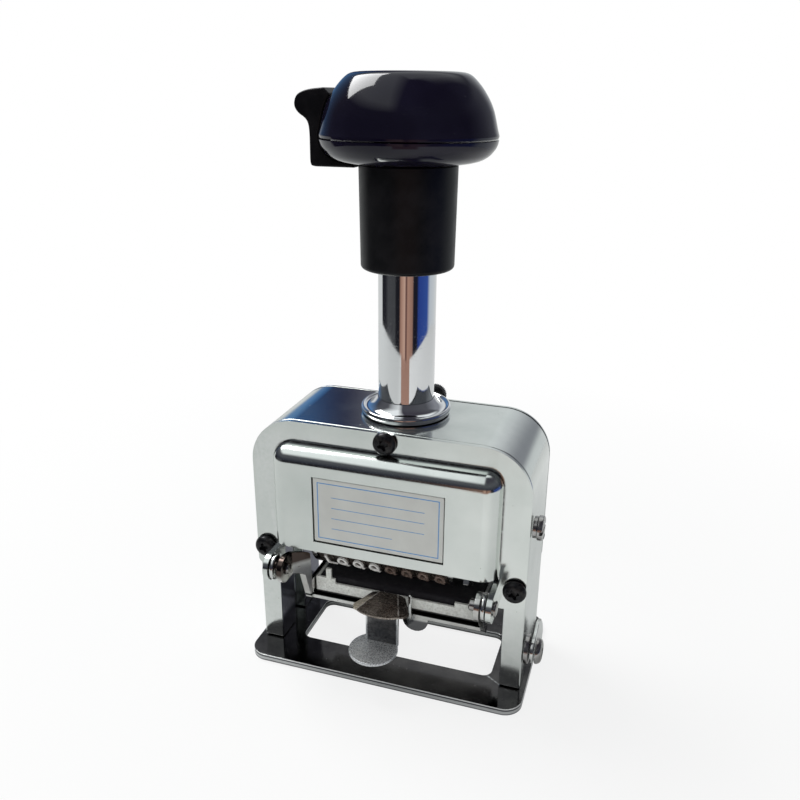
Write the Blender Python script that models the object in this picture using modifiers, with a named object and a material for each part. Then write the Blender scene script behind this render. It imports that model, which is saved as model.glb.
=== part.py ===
# Hand-held numbering stamp with eight type wheels, an arched chrome casing on two legs, a swinging
# ink-pad carrier and a black push knob. Metres, +Z up. The paper lies at z = 0 and the middle of the
# footprint is at the origin.
import math

import bmesh
import bpy
from mathutils import Matrix, Vector

MM = 0.001
GAP = 0.3 * MM              # clearance between pieces that touch
OVERRUN = 1.0 * MM          # how far a cutter runs past the piece it cuts
SEAT = 1.0 * MM             # how far two shapes that become one piece run into each other
MERGE = 0.001 * MM          # points closer than this are one

# Fineness of round shapes
TURN_STEPS = 44
SMALL_TURN_STEPS = 20
ARC_STEPS = 6

# Body line: casing and base are centred a little in front of the neck, whose axis is at y = 0
BODY_Y = -2.5 * MM

# Base plate and its window
BASE_W = 77.8 * MM
BASE_D = 43.4 * MM
BASE_T = 2.0 * MM
BASE_CORNER = 5.0 * MM
BASE_EDGE = 0.6 * MM
WINDOW_MARGIN = 3.9 * MM
WINDOW_D = 19.5 * MM
WINDOW_X = 1.0 * MM
WINDOW_Y = -3.25 * MM
WINDOW_CORNER = 2.5 * MM

# Casing: an arch on two thick legs, closed by a front and a back cover
CASE_W = 75.0 * MM
CASE_D = 29.0 * MM
CASE_TOP = 71.8 * MM
CASE_CORNER = 12.5 * MM
CASE_EDGE = 0.35 * MM
LEG_T = 5.7 * MM
ROOF_T = 2.2 * MM
ROOF_CORNER = 6.0 * MM
COVER_T = 1.0 * MM
GROOVE_W = 6.8 * MM
GROOVE_Y = -3.75 * MM
GROOVE_DEPTH = 3.2 * MM

# Front cover: side tabs, raised panel, pocket for the label, bent lugs for the pad pivots
TAB_Z = 27.5 * MM
TAB_CORNER = 1.6 * MM
PANEL_MARGIN = 7.0 * MM
PANEL_Z = 37.5 * MM
PANEL_TOP = 66.1 * MM
PANEL_PROUD = 5.0 * MM
PANEL_ROUND = 4.3 * MM
PANEL_SIDE_WALL = 4.8 * MM
PANEL_WALL = 1.8 * MM
LABEL_MARGIN = 12.8 * MM
LABEL_H = 18.9 * MM
LABEL_X = -0.6 * MM
LABEL_Z = 49.9 * MM
POCKET_DEPTH = 1.1 * MM
LABEL_T = 0.5 * MM
LUG_T = 1.4 * MM
LUG_INSET = 1.1 * MM

# Back cover and the selector on it
BACK_FOOT = 30.0 * MM
DIAL_W = 24.0 * MM
DIAL_H = 12.0 * MM
DIAL_T = 0.6 * MM
DIAL_CORNER = 2.0 * MM
SELECT_Z = 56.0 * MM
SELECT_X = 0.0 * MM
SELECT_HUB = 3.2 * MM
SELECT_T = 1.0 * MM
SELECT_BORE = 1.4 * MM
SELECT_TIP_X = 3.8 * MM
SELECT_TIP_RISE = 15.2 * MM
SELECT_WIDTH = 3.4 * MM
BUTTON_R = 3.0 * MM
BUTTON_H = 2.6 * MM

# Cross-recess screws
SCREW_R = 3.05 * MM
SCREW_H = 1.9 * MM
SCREW_INSET_X = 2.8 * MM
SCREW_Z = 33.6 * MM
TOP_SCREW_DROP = 2.4 * MM
CROSS_LENGTH = 2.9 * MM
CROSS_WIDTH = 0.7 * MM
CROSS_DEPTH = 1.0 * MM
CROSS_TURN = math.radians(22)
BACK_TOP_SCREW_X = 20.0 * MM
BACK_TOP_SCREW_DROP = 6.0 * MM

# Stud on the right side, and the lock lever between its boss and its screw
STUD_R = 3.2 * MM
STUD_H = 2.5 * MM
STUD_Y = -13.0 * MM
STUD_Z = 50.4 * MM
SLOT_W = 0.9 * MM
SLOT_DEPTH = 0.8 * MM
LOCK_Y = -12.0 * MM
LOCK_Z = 13.0 * MM
LOCK_BOSS_R = 3.9 * MM
LOCK_BOSS_H = 1.2 * MM
LOCK_HUB_R = 3.5 * MM
LOCK_T = 1.0 * MM
LOCK_LENGTH = 17.0 * MM
LOCK_SCREW_R = 3.45 * MM
LOCK_SCREW_H = 1.8 * MM

# Neck: tube, flared flange, nut under the roof
NECK_R = 7.35 * MM
NECK_BORE = 6.1 * MM
NECK_THROAT = 3.7 * MM
NECK_TOP = 120.5 * MM
NECK_SEAT = 76.0 * MM
NECK_FOOT_DROP = 5.6 * MM
FLANGE_R = 11.9 * MM
FLANGE_H = 4.0 * MM
NUT_R = 10.0 * MM
NUT_H = 3.0 * MM
NUT_SIDES = 6

# Plunger: stroke, knob, sleeve, rod and spring
STROKE = 25.5 * MM
PRINT_GAP = 0.2 * MM
KNOB_R = 21.3 * MM
SEAM_DROP = 4.8 * MM
KNOB_UP = 14.4 * MM
KNOB_DOWN = 5.5 * MM
KNOB_CAVITY_R = 9.0 * MM
SLEEVE_R_TOP = 12.0 * MM
SLEEVE_R_FOOT = 11.7 * MM
SLEEVE_DROP = 31.0 * MM
SLEEVE_WALL = 3.8 * MM
SLEEVE_ROUND = 1.0 * MM
ROD_R = 3.2 * MM
ROD_IN_KNOB = 5.0 * MM
SPRING_WIRE_R = 0.5 * MM
SPRING_R = 4.8 * MM
SPRING_TURNS = 12
SPRING_POINTS = 9

# Finger hook beside the knob
HOOK_T = 8.0 * MM
HOOK_OUT = 6.2 * MM
HOOK_BACK = 2.6 * MM
HOOK_FLOOR = 0.95 * MM
HOOK_BEAK_UP = 6.6 * MM
HOOK_TOP_UP = 10.9 * MM

# Number wheels and the axle
WHEEL_COUNT = 8
WHEEL_ROOM_LEFT = 4.65 * MM
WHEEL_ROOM_RIGHT = 7.85 * MM
WHEEL_GAP = 0.3 * MM
WHEEL_R = 12.3 * MM
WHEEL_Y = -5.0 * MM
LANDS = 10
LAND_H = 0.8 * MM
LAND_SHARE = 0.36
AXLE_R = 2.0 * MM
DISC_R = 12.0 * MM
DISC_T = 1.5 * MM
END_DISC_T = 1.3 * MM
COLLAR_R = 4.0 * MM
RATCHET_R = 12.0 * MM
RATCHET_TEETH = 10
RATCHET_TOOTH = 1.6 * MM
SPACER_R = 6.0 * MM
SPACER_T = 1.8 * MM

# Yoke that carries the axle and slides in the legs
YOKE_PLATE_T = 1.6 * MM
YOKE_CLEAR = 7.3 * MM
YOKE_HALF_D = 8.0 * MM
YOKE_RIM = 2.3 * MM
YOKE_EYE_R = 5.0 * MM
BRIDGE_T = 4.0 * MM
BRIDGE_RISE = 3.2 * MM
TONGUE_H = 11.0 * MM
ROD_NUT_R = 6.0 * MM
ROD_NUT_H = 3.0 * MM

# Detent comb and the feed arm that steps the wheels
COMB_Y = 5.0 * MM
COMB_T = 1.2 * MM
COMB_BACK_H = 1.4 * MM
COMB_FINGER_SHARE = 0.605
FEED_SWING = math.radians(36.0)
FEED_REST = math.radians(120.0)
FEED_REACH = 14.3 * MM
FEED_BAR = 1.5 * MM
FEED_HUB_R = 4.0 * MM
FEED_T = 1.3 * MM

# Ink-pad carrier: pivot, ears, arms, shelf
PIVOT_Y = -24.0 * MM
PIVOT_Z = 32.0 * MM
EAR_R = 3.7 * MM
PIN_R = 1.5 * MM
PIN_HEAD_R = 2.0 * MM
PIN_HEAD_T = 0.6 * MM
PIN_LENGTH = 4.8 * MM
EAR_INSET_LEFT = 2.7 * MM
EAR_T = 1.3 * MM
WASHER_R = 3.5 * MM
WASHER_T = 1.1 * MM
SHELF_INSET_LEFT = 6.8 * MM
SHELF_INSET_RIGHT = 2.1 * MM
SHELF_FRONT = -15.9 * MM
SHELF_BACK = 1.5 * MM
SHELF_T = 1.1 * MM
SHELF_WALL = 1.0 * MM
SHELF_WALL_H = 6.2 * MM
ARM_STEP = 0.15 * MM
HORN_FORWARD = 0.8 * MM
STOP_TAB_X = 8.0 * MM
STOP_TAB_R = 3.6 * MM
STOP_TAB_DROP = 1.0 * MM

# Ink tray, pad, grip and catch
PAD_GAP = 0.4 * MM
TRAY_WALL = 0.8 * MM
TRAY_FLOOR = 0.8 * MM
TRAY_FRONT_IN = 1.3 * MM
TRAY_H = 4.9 * MM
NOTCH_INSET_LEFT = 7.0 * MM
NOTCH_INSET_RIGHT = 8.7 * MM
NOTCH_DEPTH = 1.4 * MM
TAB_INSET = 5.1 * MM
TAB_W = 1.6 * MM
TAB_RISE = 3.0 * MM
PAD_H = 4.4 * MM
PAD_EDGE = 0.4 * MM
GRIP_X = 0.3 * MM
GRIP_T = 0.9 * MM
GRIP_TOP_R = 7.8 * MM
GRIP_NECK = 9.4 * MM
GRIP_TOP_OUT = 6.2 * MM
GRIP_TOP_FRONT = 10.9 * MM
GRIP_WEB_OUT = 5.0 * MM
GRIP_WEB_W = 9.2 * MM
GRIP_WEB_H = 11.4 * MM
GRIP_FOOT_R = 6.6 * MM
GRIP_FOOT_OUT = 4.0 * MM
GRIP_FOOT_ASIDE = 1.3 * MM
GRIP_DROP = 1.6 * MM
CATCH_W = 1.0 * MM
CATCH_D = 1.0 * MM
CATCH_H = 7.5 * MM
CATCH_RISE = 2.0 * MM

# Profiles as shares of radius and height: the dome above the knob's seam and the bowl below it
DOME_SHARES = ((0.0, 1.0), (0.35, 0.999), (0.60, 0.99), (0.67, 0.95), (0.72, 0.89), (0.785, 0.79),
               (0.85, 0.657), (0.895, 0.54), (0.935, 0.40), (0.965, 0.23), (0.985, 0.12), (1.0, 0.0))
BOWL_SHARES = ((1.0, 0.0), (0.992, 0.10), (0.973, 0.30), (0.938, 0.47), (0.895, 0.64), (0.82, 0.81),
               (0.72, 0.93), (0.60, 1.0))
# The flange's upper side: share of its width outside the tube, share of its height
FLARE_SHARES = ((0.0, 1.0), (0.14, 0.83), (0.32, 0.53), (0.52, 0.38), (0.72, 0.35), (0.82, 0.44),
                (0.94, 0.44), (1.0, 0.36), (1.0, 0.18), (0.93, 0.14), (0.93, 0.0))
# A domed screw head: share of radius, share of height
HEAD_SHARES = ((0.0, 1.0), (0.62, 0.97), (0.88, 0.72), (1.0, 0.25), (1.0, 0.0), (0.0, 0.0))
# The lock lever's wing: share of its length, and of its hub's radius
WING_SHARES = ((0.15, 1.0), (0.35, 1.25), (0.62, 0.75), (0.88, -0.55), (1.0, -1.7), (0.9, -2.3),
               (0.55, -1.7), (0.15, -1.0))

# Places worked out from the sizes above
CASE_HALF = CASE_W / 2
CASE_FRONT = BODY_Y - CASE_D / 2
CASE_BACK = BODY_Y + CASE_D / 2
ARCH_FRONT = CASE_FRONT + COVER_T + GAP
ARCH_BACK = CASE_BACK - COVER_T - GAP
LEG_INSIDE = CASE_HALF - LEG_T
WINDOW_W = 2 * (LEG_INSIDE - WINDOW_MARGIN)
PANEL_HALF = CASE_HALF - PANEL_MARGIN
LABEL_W = 2 * (PANEL_HALF - LABEL_MARGIN)
LUG_INSIDE = PANEL_HALF - LUG_INSET
KNOB_SEAM = NECK_TOP + STROKE - SEAM_DROP
SLEEVE_FOOT = KNOB_SEAM - SLEEVE_DROP
YOKE_PLATE_X = LEG_INSIDE - YOKE_CLEAR
WHEELS_SPAN = 2 * YOKE_PLATE_X - WHEEL_ROOM_LEFT - WHEEL_ROOM_RIGHT
WHEEL_PITCH = (WHEELS_SPAN + WHEEL_GAP) / WHEEL_COUNT
WHEEL_Z = WHEEL_R + STROKE + PRINT_GAP
WHEEL_T = WHEEL_PITCH - WHEEL_GAP
WHEEL_FIRST_X = WHEEL_ROOM_LEFT - YOKE_PLATE_X + WHEEL_T / 2
COMB_FINGER_W = WHEEL_T * COMB_FINGER_SHARE
PIN_INNER = LUG_INSIDE - PIN_LENGTH
EAR_LEFT = EAR_INSET_LEFT - LUG_INSIDE
SHELF_LEFT = SHELF_INSET_LEFT - LUG_INSIDE
SHELF_RIGHT = LUG_INSIDE - SHELF_INSET_RIGHT
NOTCH_LEFT = SHELF_LEFT + NOTCH_INSET_LEFT
NOTCH_RIGHT = SHELF_RIGHT - NOTCH_INSET_RIGHT
TAB_X = SHELF_LEFT + TAB_INSET
PAD_TOP = WHEEL_Z - WHEEL_R - PAD_GAP
BRIDGE_Z = WHEEL_Z + WHEEL_R + BRIDGE_RISE
BRIDGE_TOP = BRIDGE_Z + BRIDGE_T
KNOB_CEILING = NECK_TOP + STROKE + 3 * GAP
RIGHT_REACH = CASE_HALF + 3 * GAP + LOCK_BOSS_H + LOCK_T + LOCK_SCREW_H
TRAY_Z = PAD_TOP - PAD_H - TRAY_FLOOR - GAP
SHELF_Z = TRAY_Z - GAP - SHELF_T
TRAY_FRONT = SHELF_FRONT + TRAY_FRONT_IN
TRAY_BACK = SHELF_BACK - GAP
TRAY_LEFT = SHELF_LEFT + SHELF_WALL + GAP
TRAY_RIGHT = SHELF_RIGHT - SHELF_WALL - GAP
GRIP_Z = TRAY_Z + TRAY_H - GRIP_DROP
GRIP_BACK = TRAY_FRONT - GAP
GRIP_REACH = GRIP_BACK - GRIP_WEB_OUT - GRIP_FOOT_OUT - GRIP_FOOT_R
REAR_REACH = max(BODY_Y + BASE_D / 2, KNOB_R)

for old in list(bpy.data.objects):
    bpy.data.objects.remove(old, do_unlink=True)

stamp = bpy.data.collections.new("numbering_stamp")
cutters = bpy.data.collections.new("stamp_cutters")
bpy.context.scene.collection.children.link(stamp)
bpy.context.scene.collection.children.link(cutters)

# Turns that lay a shape drawn in XY, or turned about Z, the way it faces
FLAT = (0, 0, 0)
FACING_FRONT = (math.pi / 2, 0, 0)
FACING_BACK = (-math.pi / 2, 0, 0)
FACING_RIGHT = (math.pi / 2, 0, math.pi / 2)
TURNED_RIGHT = (0, math.pi / 2, 0)
TURNED_LEFT = (0, -math.pi / 2, 0)


def material(name, colour, roughness, metallic):
    made = bpy.data.materials.new(name)
    made.use_nodes = True
    shader = made.node_tree.nodes["Principled BSDF"]
    shader.inputs["Base Color"].default_value = (*colour, 1.0)
    shader.inputs["Roughness"].default_value = roughness
    shader.inputs["Metallic"].default_value = metallic
    made.diffuse_color = (*colour, 1.0)
    return made


def empty(name, at, parent=None):
    made = bpy.data.objects.new(name, None)
    made.empty_display_size = STROKE / 2
    made.location = Vector(at)
    stamp.objects.link(made)
    if parent is not None:
        made.parent = parent
        made.location -= place_of(parent)
    return made


def place_of(holder):
    # where a holder lies, in the frame of the stamp's root
    place = Vector((0, 0, 0))
    while holder is not root:
        place += holder.location
        holder = holder.parent
    return place


def hold(made, parent, look):
    made.location -= place_of(parent)
    made.parent = parent
    made.data.materials.append(look)
    return made


def tool(made, parent):
    # a shape that only cuts, or joins into, another one
    stamp.objects.unlink(made)
    cutters.objects.link(made)
    made.location -= place_of(parent)
    made.parent = parent
    made.hide_render = True
    made.display_type = "WIRE"
    return made


def boolean(made, other, operation="DIFFERENCE"):
    change = made.modifiers.new(operation.lower(), "BOOLEAN")
    change.operation = operation
    change.object = other
    change.solver = "EXACT"
    return made


def bevel(made, width, segments=1, angle=math.radians(40)):
    rounding = made.modifiers.new("edges", "BEVEL")
    rounding.width = width
    rounding.segments = segments
    rounding.limit_method = "ANGLE"
    rounding.angle_limit = angle
    return made


def smooth(mesh):
    mesh.shade_smooth()
    mesh.set_sharp_from_angle(angle=math.radians(35))


def box(name, x, y, z):
    # a block between two values on each axis, with its origin in its middle
    shape = bmesh.new()
    bmesh.ops.create_cube(shape, size=1)
    bmesh.ops.scale(shape, vec=(x[1] - x[0], y[1] - y[0], z[1] - z[0]), verts=shape.verts)
    mesh = bpy.data.meshes.new(name)
    shape.to_mesh(mesh)
    shape.free()
    made = bpy.data.objects.new(name, mesh)
    made.location = ((x[0] + x[1]) / 2, (y[0] + y[1]) / 2, (z[0] + z[1]) / 2)
    stamp.objects.link(made)
    return made


def rounded(corners, steps=ARC_STEPS):
    # a closed outline whose corners (x, y, radius) are rounded
    points = []
    for i, (x, y, radius) in enumerate(corners):
        here = Vector((x, y))
        if not radius:
            points.append(here)
            continue
        back = (Vector(corners[i - 1][:2]) - here).normalized()
        ahead = (Vector(corners[(i + 1) % len(corners)][:2]) - here).normalized()
        half = back.angle(ahead) / 2
        centre = here + (back + ahead).normalized() * (radius / math.sin(half))
        start = here + back * (radius / math.tan(half)) - centre
        stop = here + ahead * (radius / math.tan(half)) - centre
        first = math.atan2(start.y, start.x)
        turn = (math.atan2(stop.y, stop.x) - first + math.pi) % (2 * math.pi) - math.pi
        for k in range(steps + 1):
            angle = first + turn * k / steps
            points.append(centre + Vector((math.cos(angle), math.sin(angle))) * radius)
    return points


def circle(radius, steps=SMALL_TURN_STEPS, x=0, y=0):
    return [Vector((x + radius * math.cos(2 * math.pi * k / steps),
                    y + radius * math.sin(2 * math.pi * k / steps))) for k in range(steps)]


def rectangle(half_x, half_y, radius=0, x=0, y=0):
    return rounded([(x - half_x, y - half_y, radius), (x + half_x, y - half_y, radius),
                    (x + half_x, y + half_y, radius), (x - half_x, y + half_y, radius)])


def plate(name, outlines, thickness, at, facing=FLAT):
    # a flat outline with its holes, given thickness to both sides of its place
    curve = bpy.data.curves.new(name, "CURVE")
    curve.dimensions = "2D"
    curve.fill_mode = "BOTH"
    curve.extrude = thickness / 2
    curve.resolution_u = 1
    for outline in outlines:
        spline = curve.splines.new("POLY")
        spline.points.add(len(outline) - 1)
        for point, (x, y) in zip(spline.points, outline):
            point.co = (x, y, 0, 1)
        spline.use_cyclic_u = True
    drawn = bpy.data.objects.new(name, curve)
    stamp.objects.link(drawn)
    bpy.context.view_layer.update()
    mesh = bpy.data.meshes.new_from_object(drawn.evaluated_get(bpy.context.evaluated_depsgraph_get()))
    bpy.data.objects.remove(drawn, do_unlink=True)
    shape = bmesh.new()
    shape.from_mesh(mesh)
    bmesh.ops.remove_doubles(shape, verts=shape.verts, dist=MERGE)
    shape.to_mesh(mesh)
    shape.free()
    mesh.name = name
    smooth(mesh)
    made = bpy.data.objects.new(name, mesh)
    made.location = at
    made.rotation_euler = facing
    stamp.objects.link(made)
    return made


def turned(name, profile, at, facing=FLAT, steps=SMALL_TURN_STEPS, ring=False):
    # a profile of (radius, height) turned about its own Z
    shape = bmesh.new()
    verts = [shape.verts.new((radius, 0, height)) for radius, height in profile]
    for a, b in zip(verts, verts[1:]):
        shape.edges.new((a, b))
    if ring:
        shape.edges.new((verts[-1], verts[0]))
    mesh = bpy.data.meshes.new(name)
    shape.to_mesh(mesh)
    shape.free()
    made = bpy.data.objects.new(name, mesh)
    made.location = at
    made.rotation_euler = facing
    turn = made.modifiers.new("turn", "SCREW")
    turn.axis = "Z"
    turn.steps = steps
    turn.render_steps = steps
    turn.use_merge_vertices = True
    turn.merge_threshold = MERGE
    turn.use_smooth_shade = True
    stamp.objects.link(made)
    return made


def screw(name, at, facing, radius, height, parent, look):
    made = turned(name, [(radius * r, height * h) for r, h in HEAD_SHARES], at, facing)
    w = CROSS_WIDTH / 2
    arm = CROSS_LENGTH / 2
    cross = [Vector(p) for p in ((arm, -w), (arm, w), (w, w), (w, arm), (-w, arm), (-w, w), (-arm, w),
                                 (-arm, -w), (-w, -w), (-w, -arm), (w, -arm), (w, -w))]
    reach = CROSS_DEPTH + OVERRUN
    recess = plate(name + "_cross", [cross], reach, at, facing)
    recess.data.transform(Matrix.Translation((0, 0, height - CROSS_DEPTH + reach / 2))
                          @ Matrix.Rotation(CROSS_TURN, 4, "Z"))
    hold(made, parent, look)
    return boolean(made, tool(recess, parent))


chrome = material("chrome", (0.80, 0.82, 0.80), 0.07, 1.0)
dark_chrome = material("dark_chrome", (0.42, 0.42, 0.45), 0.12, 1.0)
black_oxide = material("black_oxide", (0.018, 0.018, 0.02), 0.35, 0.6)
steel = material("steel", (0.55, 0.56, 0.57), 0.28, 1.0)
brass = material("brass", (0.62, 0.45, 0.20), 0.3, 1.0)
galvanised = material("galvanised", (0.72, 0.73, 0.70), 0.5, 0.8)
label_silver = material("label_silver", (0.62, 0.62, 0.60), 0.35, 0.7)
gloss_black = material("gloss_black", (0.008, 0.009, 0.018), 0.12, 0.0)
satin_black = material("satin_black", (0.012, 0.012, 0.014), 0.4, 0.0)
ink_felt = material("ink_felt", (0.01, 0.01, 0.013), 0.8, 0.0)
type_metal = material("type_metal", (0.35, 0.31, 0.28), 0.3, 1.0)

# Holders: the root puts the middle of the footprint at the origin, the others lie on the joints
root = bpy.data.objects.new("stamp_root", None)
root.location = ((BASE_W / 2 - RIGHT_REACH) / 2, -(GRIP_REACH + REAR_REACH) / 2, 0)
stamp.objects.link(root)
plunger = empty("plunger", (0, 0, KNOB_SEAM), root)
axle_line = empty("axle_line", (0, WHEEL_Y, WHEEL_Z), plunger)
pad_pivot = empty("pad_pivot", (0, PIVOT_Y, PIVOT_Z), root)
selector_pivot = empty("selector_pivot", (SELECT_X, CASE_BACK, SELECT_Z), root)
lock_pivot = empty("lock_pivot", (CASE_HALF, LOCK_Y, LOCK_Z), root)

# Base plate with its window
base = plate("base_plate", [rectangle(BASE_W / 2, BASE_D / 2, BASE_CORNER),
                            rectangle(WINDOW_W / 2, WINDOW_D / 2, WINDOW_CORNER,
                                      WINDOW_X, WINDOW_Y - BODY_Y)],
             BASE_T, (0, BODY_Y, BASE_T / 2))
hold(bevel(base, BASE_EDGE), root, dark_chrome)

# Arch and legs in one casting, with a guide groove down the inside of each leg
arch_d = ARCH_BACK - ARCH_FRONT
arch_y = (ARCH_BACK + ARCH_FRONT) / 2
foot = BASE_T + GAP
arch_outline = rounded([(-CASE_HALF, foot, 0), (-LEG_INSIDE, foot, 0),
                        (-LEG_INSIDE, CASE_TOP - ROOF_T, ROOF_CORNER),
                        (LEG_INSIDE, CASE_TOP - ROOF_T, ROOF_CORNER),
                        (LEG_INSIDE, foot, 0), (CASE_HALF, foot, 0),
                        (CASE_HALF, CASE_TOP, CASE_CORNER), (-CASE_HALF, CASE_TOP, CASE_CORNER)],
                       2 * ARC_STEPS)
arch = plate("side_frame", [arch_outline], arch_d, (0, arch_y, 0), FACING_FRONT)
bevel(arch, CASE_EDGE)
neck_hole = turned("neck_hole", [(0, CASE_TOP + OVERRUN), (NECK_R + GAP, CASE_TOP + OVERRUN),
                                 (NECK_R + GAP, CASE_TOP - ROOF_T - OVERRUN),
                                 (0, CASE_TOP - ROOF_T - OVERRUN)], (0, 0, 0))
boolean(arch, tool(neck_hole, root))
for side, sign in (("left", -1), ("right", 1)):
    span = sorted((sign * (LEG_INSIDE - OVERRUN), sign * (LEG_INSIDE + GROOVE_DEPTH)))
    groove = box("groove_" + side, span, (GROOVE_Y - GROOVE_W / 2, GROOVE_Y + GROOVE_W / 2),
                 (0, CASE_TOP - ROOF_T - ROOF_CORNER))
    boolean(arch, tool(groove, root))
hold(arch, root, chrome)

# Front cover: a sheet with side tabs, the raised panel, its hollow, the label pocket and the lugs
cover_y = CASE_FRONT + COVER_T / 2
cover_outline = rounded([(-CASE_HALF, TAB_Z, TAB_CORNER), (-PANEL_HALF, TAB_Z, 0),
                         (-PANEL_HALF, PANEL_Z, 0), (PANEL_HALF, PANEL_Z, 0), (PANEL_HALF, TAB_Z, 0),
                         (CASE_HALF, TAB_Z, TAB_CORNER), (CASE_HALF, CASE_TOP, CASE_CORNER),
                         (-CASE_HALF, CASE_TOP, CASE_CORNER)], 2 * ARC_STEPS)
cover = plate("front_cover", [cover_outline], COVER_T, (0, cover_y, 0), FACING_FRONT)
panel_front = CASE_FRONT - PANEL_PROUD
panel = box("raised_panel", (-PANEL_HALF, PANEL_HALF), (panel_front, CASE_FRONT + COVER_T / 2),
            (PANEL_Z, PANEL_TOP))
panel_shape = bmesh.new()
panel_shape.from_mesh(panel.data)
rounded_edges = [e for e in panel_shape.edges if not all(
    v.co.z < 0 or v.co.y > 0 for v in e.verts) and not all(v.co.y > 0 for v in e.verts)]
bmesh.ops.bevel(panel_shape, geom=rounded_edges, offset=PANEL_ROUND, segments=5, affect="EDGES",
                profile=0.5, clamp_overlap=True)
panel_shape.to_mesh(panel.data)
panel_shape.free()
smooth(panel.data)
hollow = box("panel_hollow", (-PANEL_HALF + PANEL_SIDE_WALL, PANEL_HALF - PANEL_SIDE_WALL),
             (panel_front + PANEL_WALL + POCKET_DEPTH, CASE_FRONT + COVER_T + OVERRUN),
             (PANEL_Z - OVERRUN, PANEL_TOP - PANEL_SIDE_WALL))
pocket = box("label_pocket", (LABEL_X - LABEL_W / 2, LABEL_X + LABEL_W / 2),
             (panel_front - OVERRUN, panel_front + POCKET_DEPTH),
             (LABEL_Z - LABEL_H / 2, LABEL_Z + LABEL_H / 2))
boolean(cover, tool(panel, root), "UNION")
lug_outline = [rounded([(PIVOT_Y - EAR_R, PIVOT_Z - EAR_R, EAR_R * 0.99),
                        (CASE_FRONT + COVER_T / 2, PIVOT_Z - EAR_R, 0),
                        (CASE_FRONT + COVER_T / 2, PIVOT_Z + EAR_R, 0),
                        (PIVOT_Y - EAR_R, PIVOT_Z + EAR_R, EAR_R * 0.99)]),
               circle(PIN_R + GAP, x=PIVOT_Y, y=PIVOT_Z)]
for side, sign in (("left", -1), ("right", 1)):
    lug = plate("lug_" + side, lug_outline, LUG_T, (sign * (LUG_INSIDE + LUG_T / 2), 0, 0), FACING_RIGHT)
    boolean(cover, tool(lug, root), "UNION")
boolean(cover, tool(hollow, root))
boolean(cover, tool(pocket, root))
hold(cover, root, chrome)

label = plate("label_plate", [rectangle(LABEL_W / 2 - GAP, LABEL_H / 2 - GAP)], LABEL_T,
              (LABEL_X, panel_front + POCKET_DEPTH - GAP - LABEL_T / 2, LABEL_Z), FACING_FRONT)
hold(label, root, label_silver)

# Back cover, the selector's plate, lever, button and screw
back_outline = rounded([(-CASE_HALF, TAB_Z, TAB_CORNER), (-LEG_INSIDE, TAB_Z, 0),
                        (-LEG_INSIDE, BACK_FOOT, 0), (LEG_INSIDE, BACK_FOOT, 0), (LEG_INSIDE, TAB_Z, 0),
                        (CASE_HALF, TAB_Z, TAB_CORNER), (CASE_HALF, CASE_TOP, CASE_CORNER),
                        (-CASE_HALF, CASE_TOP, CASE_CORNER)], 2 * ARC_STEPS)
back = plate("back_cover", [back_outline], COVER_T, (0, CASE_BACK - COVER_T / 2, 0), FACING_FRONT)
hold(back, root, chrome)
dial_y = CASE_BACK + GAP
dial = plate("selector_plate", [rectangle(DIAL_W / 2, DIAL_H / 2, DIAL_CORNER)], DIAL_T,
             (SELECT_X, dial_y + DIAL_T / 2, SELECT_Z), FACING_FRONT)
hold(dial, root, label_silver)
lever_y = dial_y + DIAL_T + GAP
lean = math.atan2(SELECT_TIP_X, SELECT_TIP_RISE)
lever_length = math.hypot(SELECT_TIP_X, SELECT_TIP_RISE)
lever_half = SELECT_WIDTH / 2
lever_outline = rounded([(-SELECT_HUB, -SELECT_HUB, SELECT_HUB * 0.9),
                         (SELECT_HUB, -SELECT_HUB, SELECT_HUB * 0.9),
                         (SELECT_HUB, SELECT_HUB, SELECT_HUB * 0.3), (lever_half, 2 * SELECT_HUB, 0),
                         (lever_half, lever_length, lever_half * 0.6),
                         (-lever_half, lever_length, lever_half * 0.6), (-lever_half, 2 * SELECT_HUB, 0),
                         (-SELECT_HUB, SELECT_HUB, SELECT_HUB * 0.3)])
lever = plate("selector_lever", [lever_outline, circle(SELECT_BORE + GAP)], SELECT_T,
              (SELECT_X, lever_y + SELECT_T / 2, SELECT_Z), (math.pi / 2, lean, 0))
hold(lever, selector_pivot, dark_chrome)
button = turned("selector_button", [(0, BUTTON_H), (BUTTON_R * 0.8, BUTTON_H), (BUTTON_R, BUTTON_H * 0.75),
                                    (BUTTON_R, 0), (0, 0)],
                (SELECT_X + SELECT_TIP_X, lever_y + SELECT_T + GAP, SELECT_Z + SELECT_TIP_RISE),
                FACING_BACK)
hold(button, selector_pivot, black_oxide)
select_screw = turned("selector_screw", [(0, GAP + BUTTON_H / 2), (SELECT_HUB * 0.7, GAP + BUTTON_H / 2),
                                         (SELECT_HUB * 0.85, GAP + BUTTON_H / 4), (SELECT_HUB * 0.85, GAP),
                                         (SELECT_BORE, GAP), (SELECT_BORE, -SELECT_T - GAP / 2),
                                         (0, -SELECT_T - GAP / 2)],
                      (SELECT_X, lever_y + SELECT_T, SELECT_Z), FACING_BACK)
hold(select_screw, root, steel)

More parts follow.
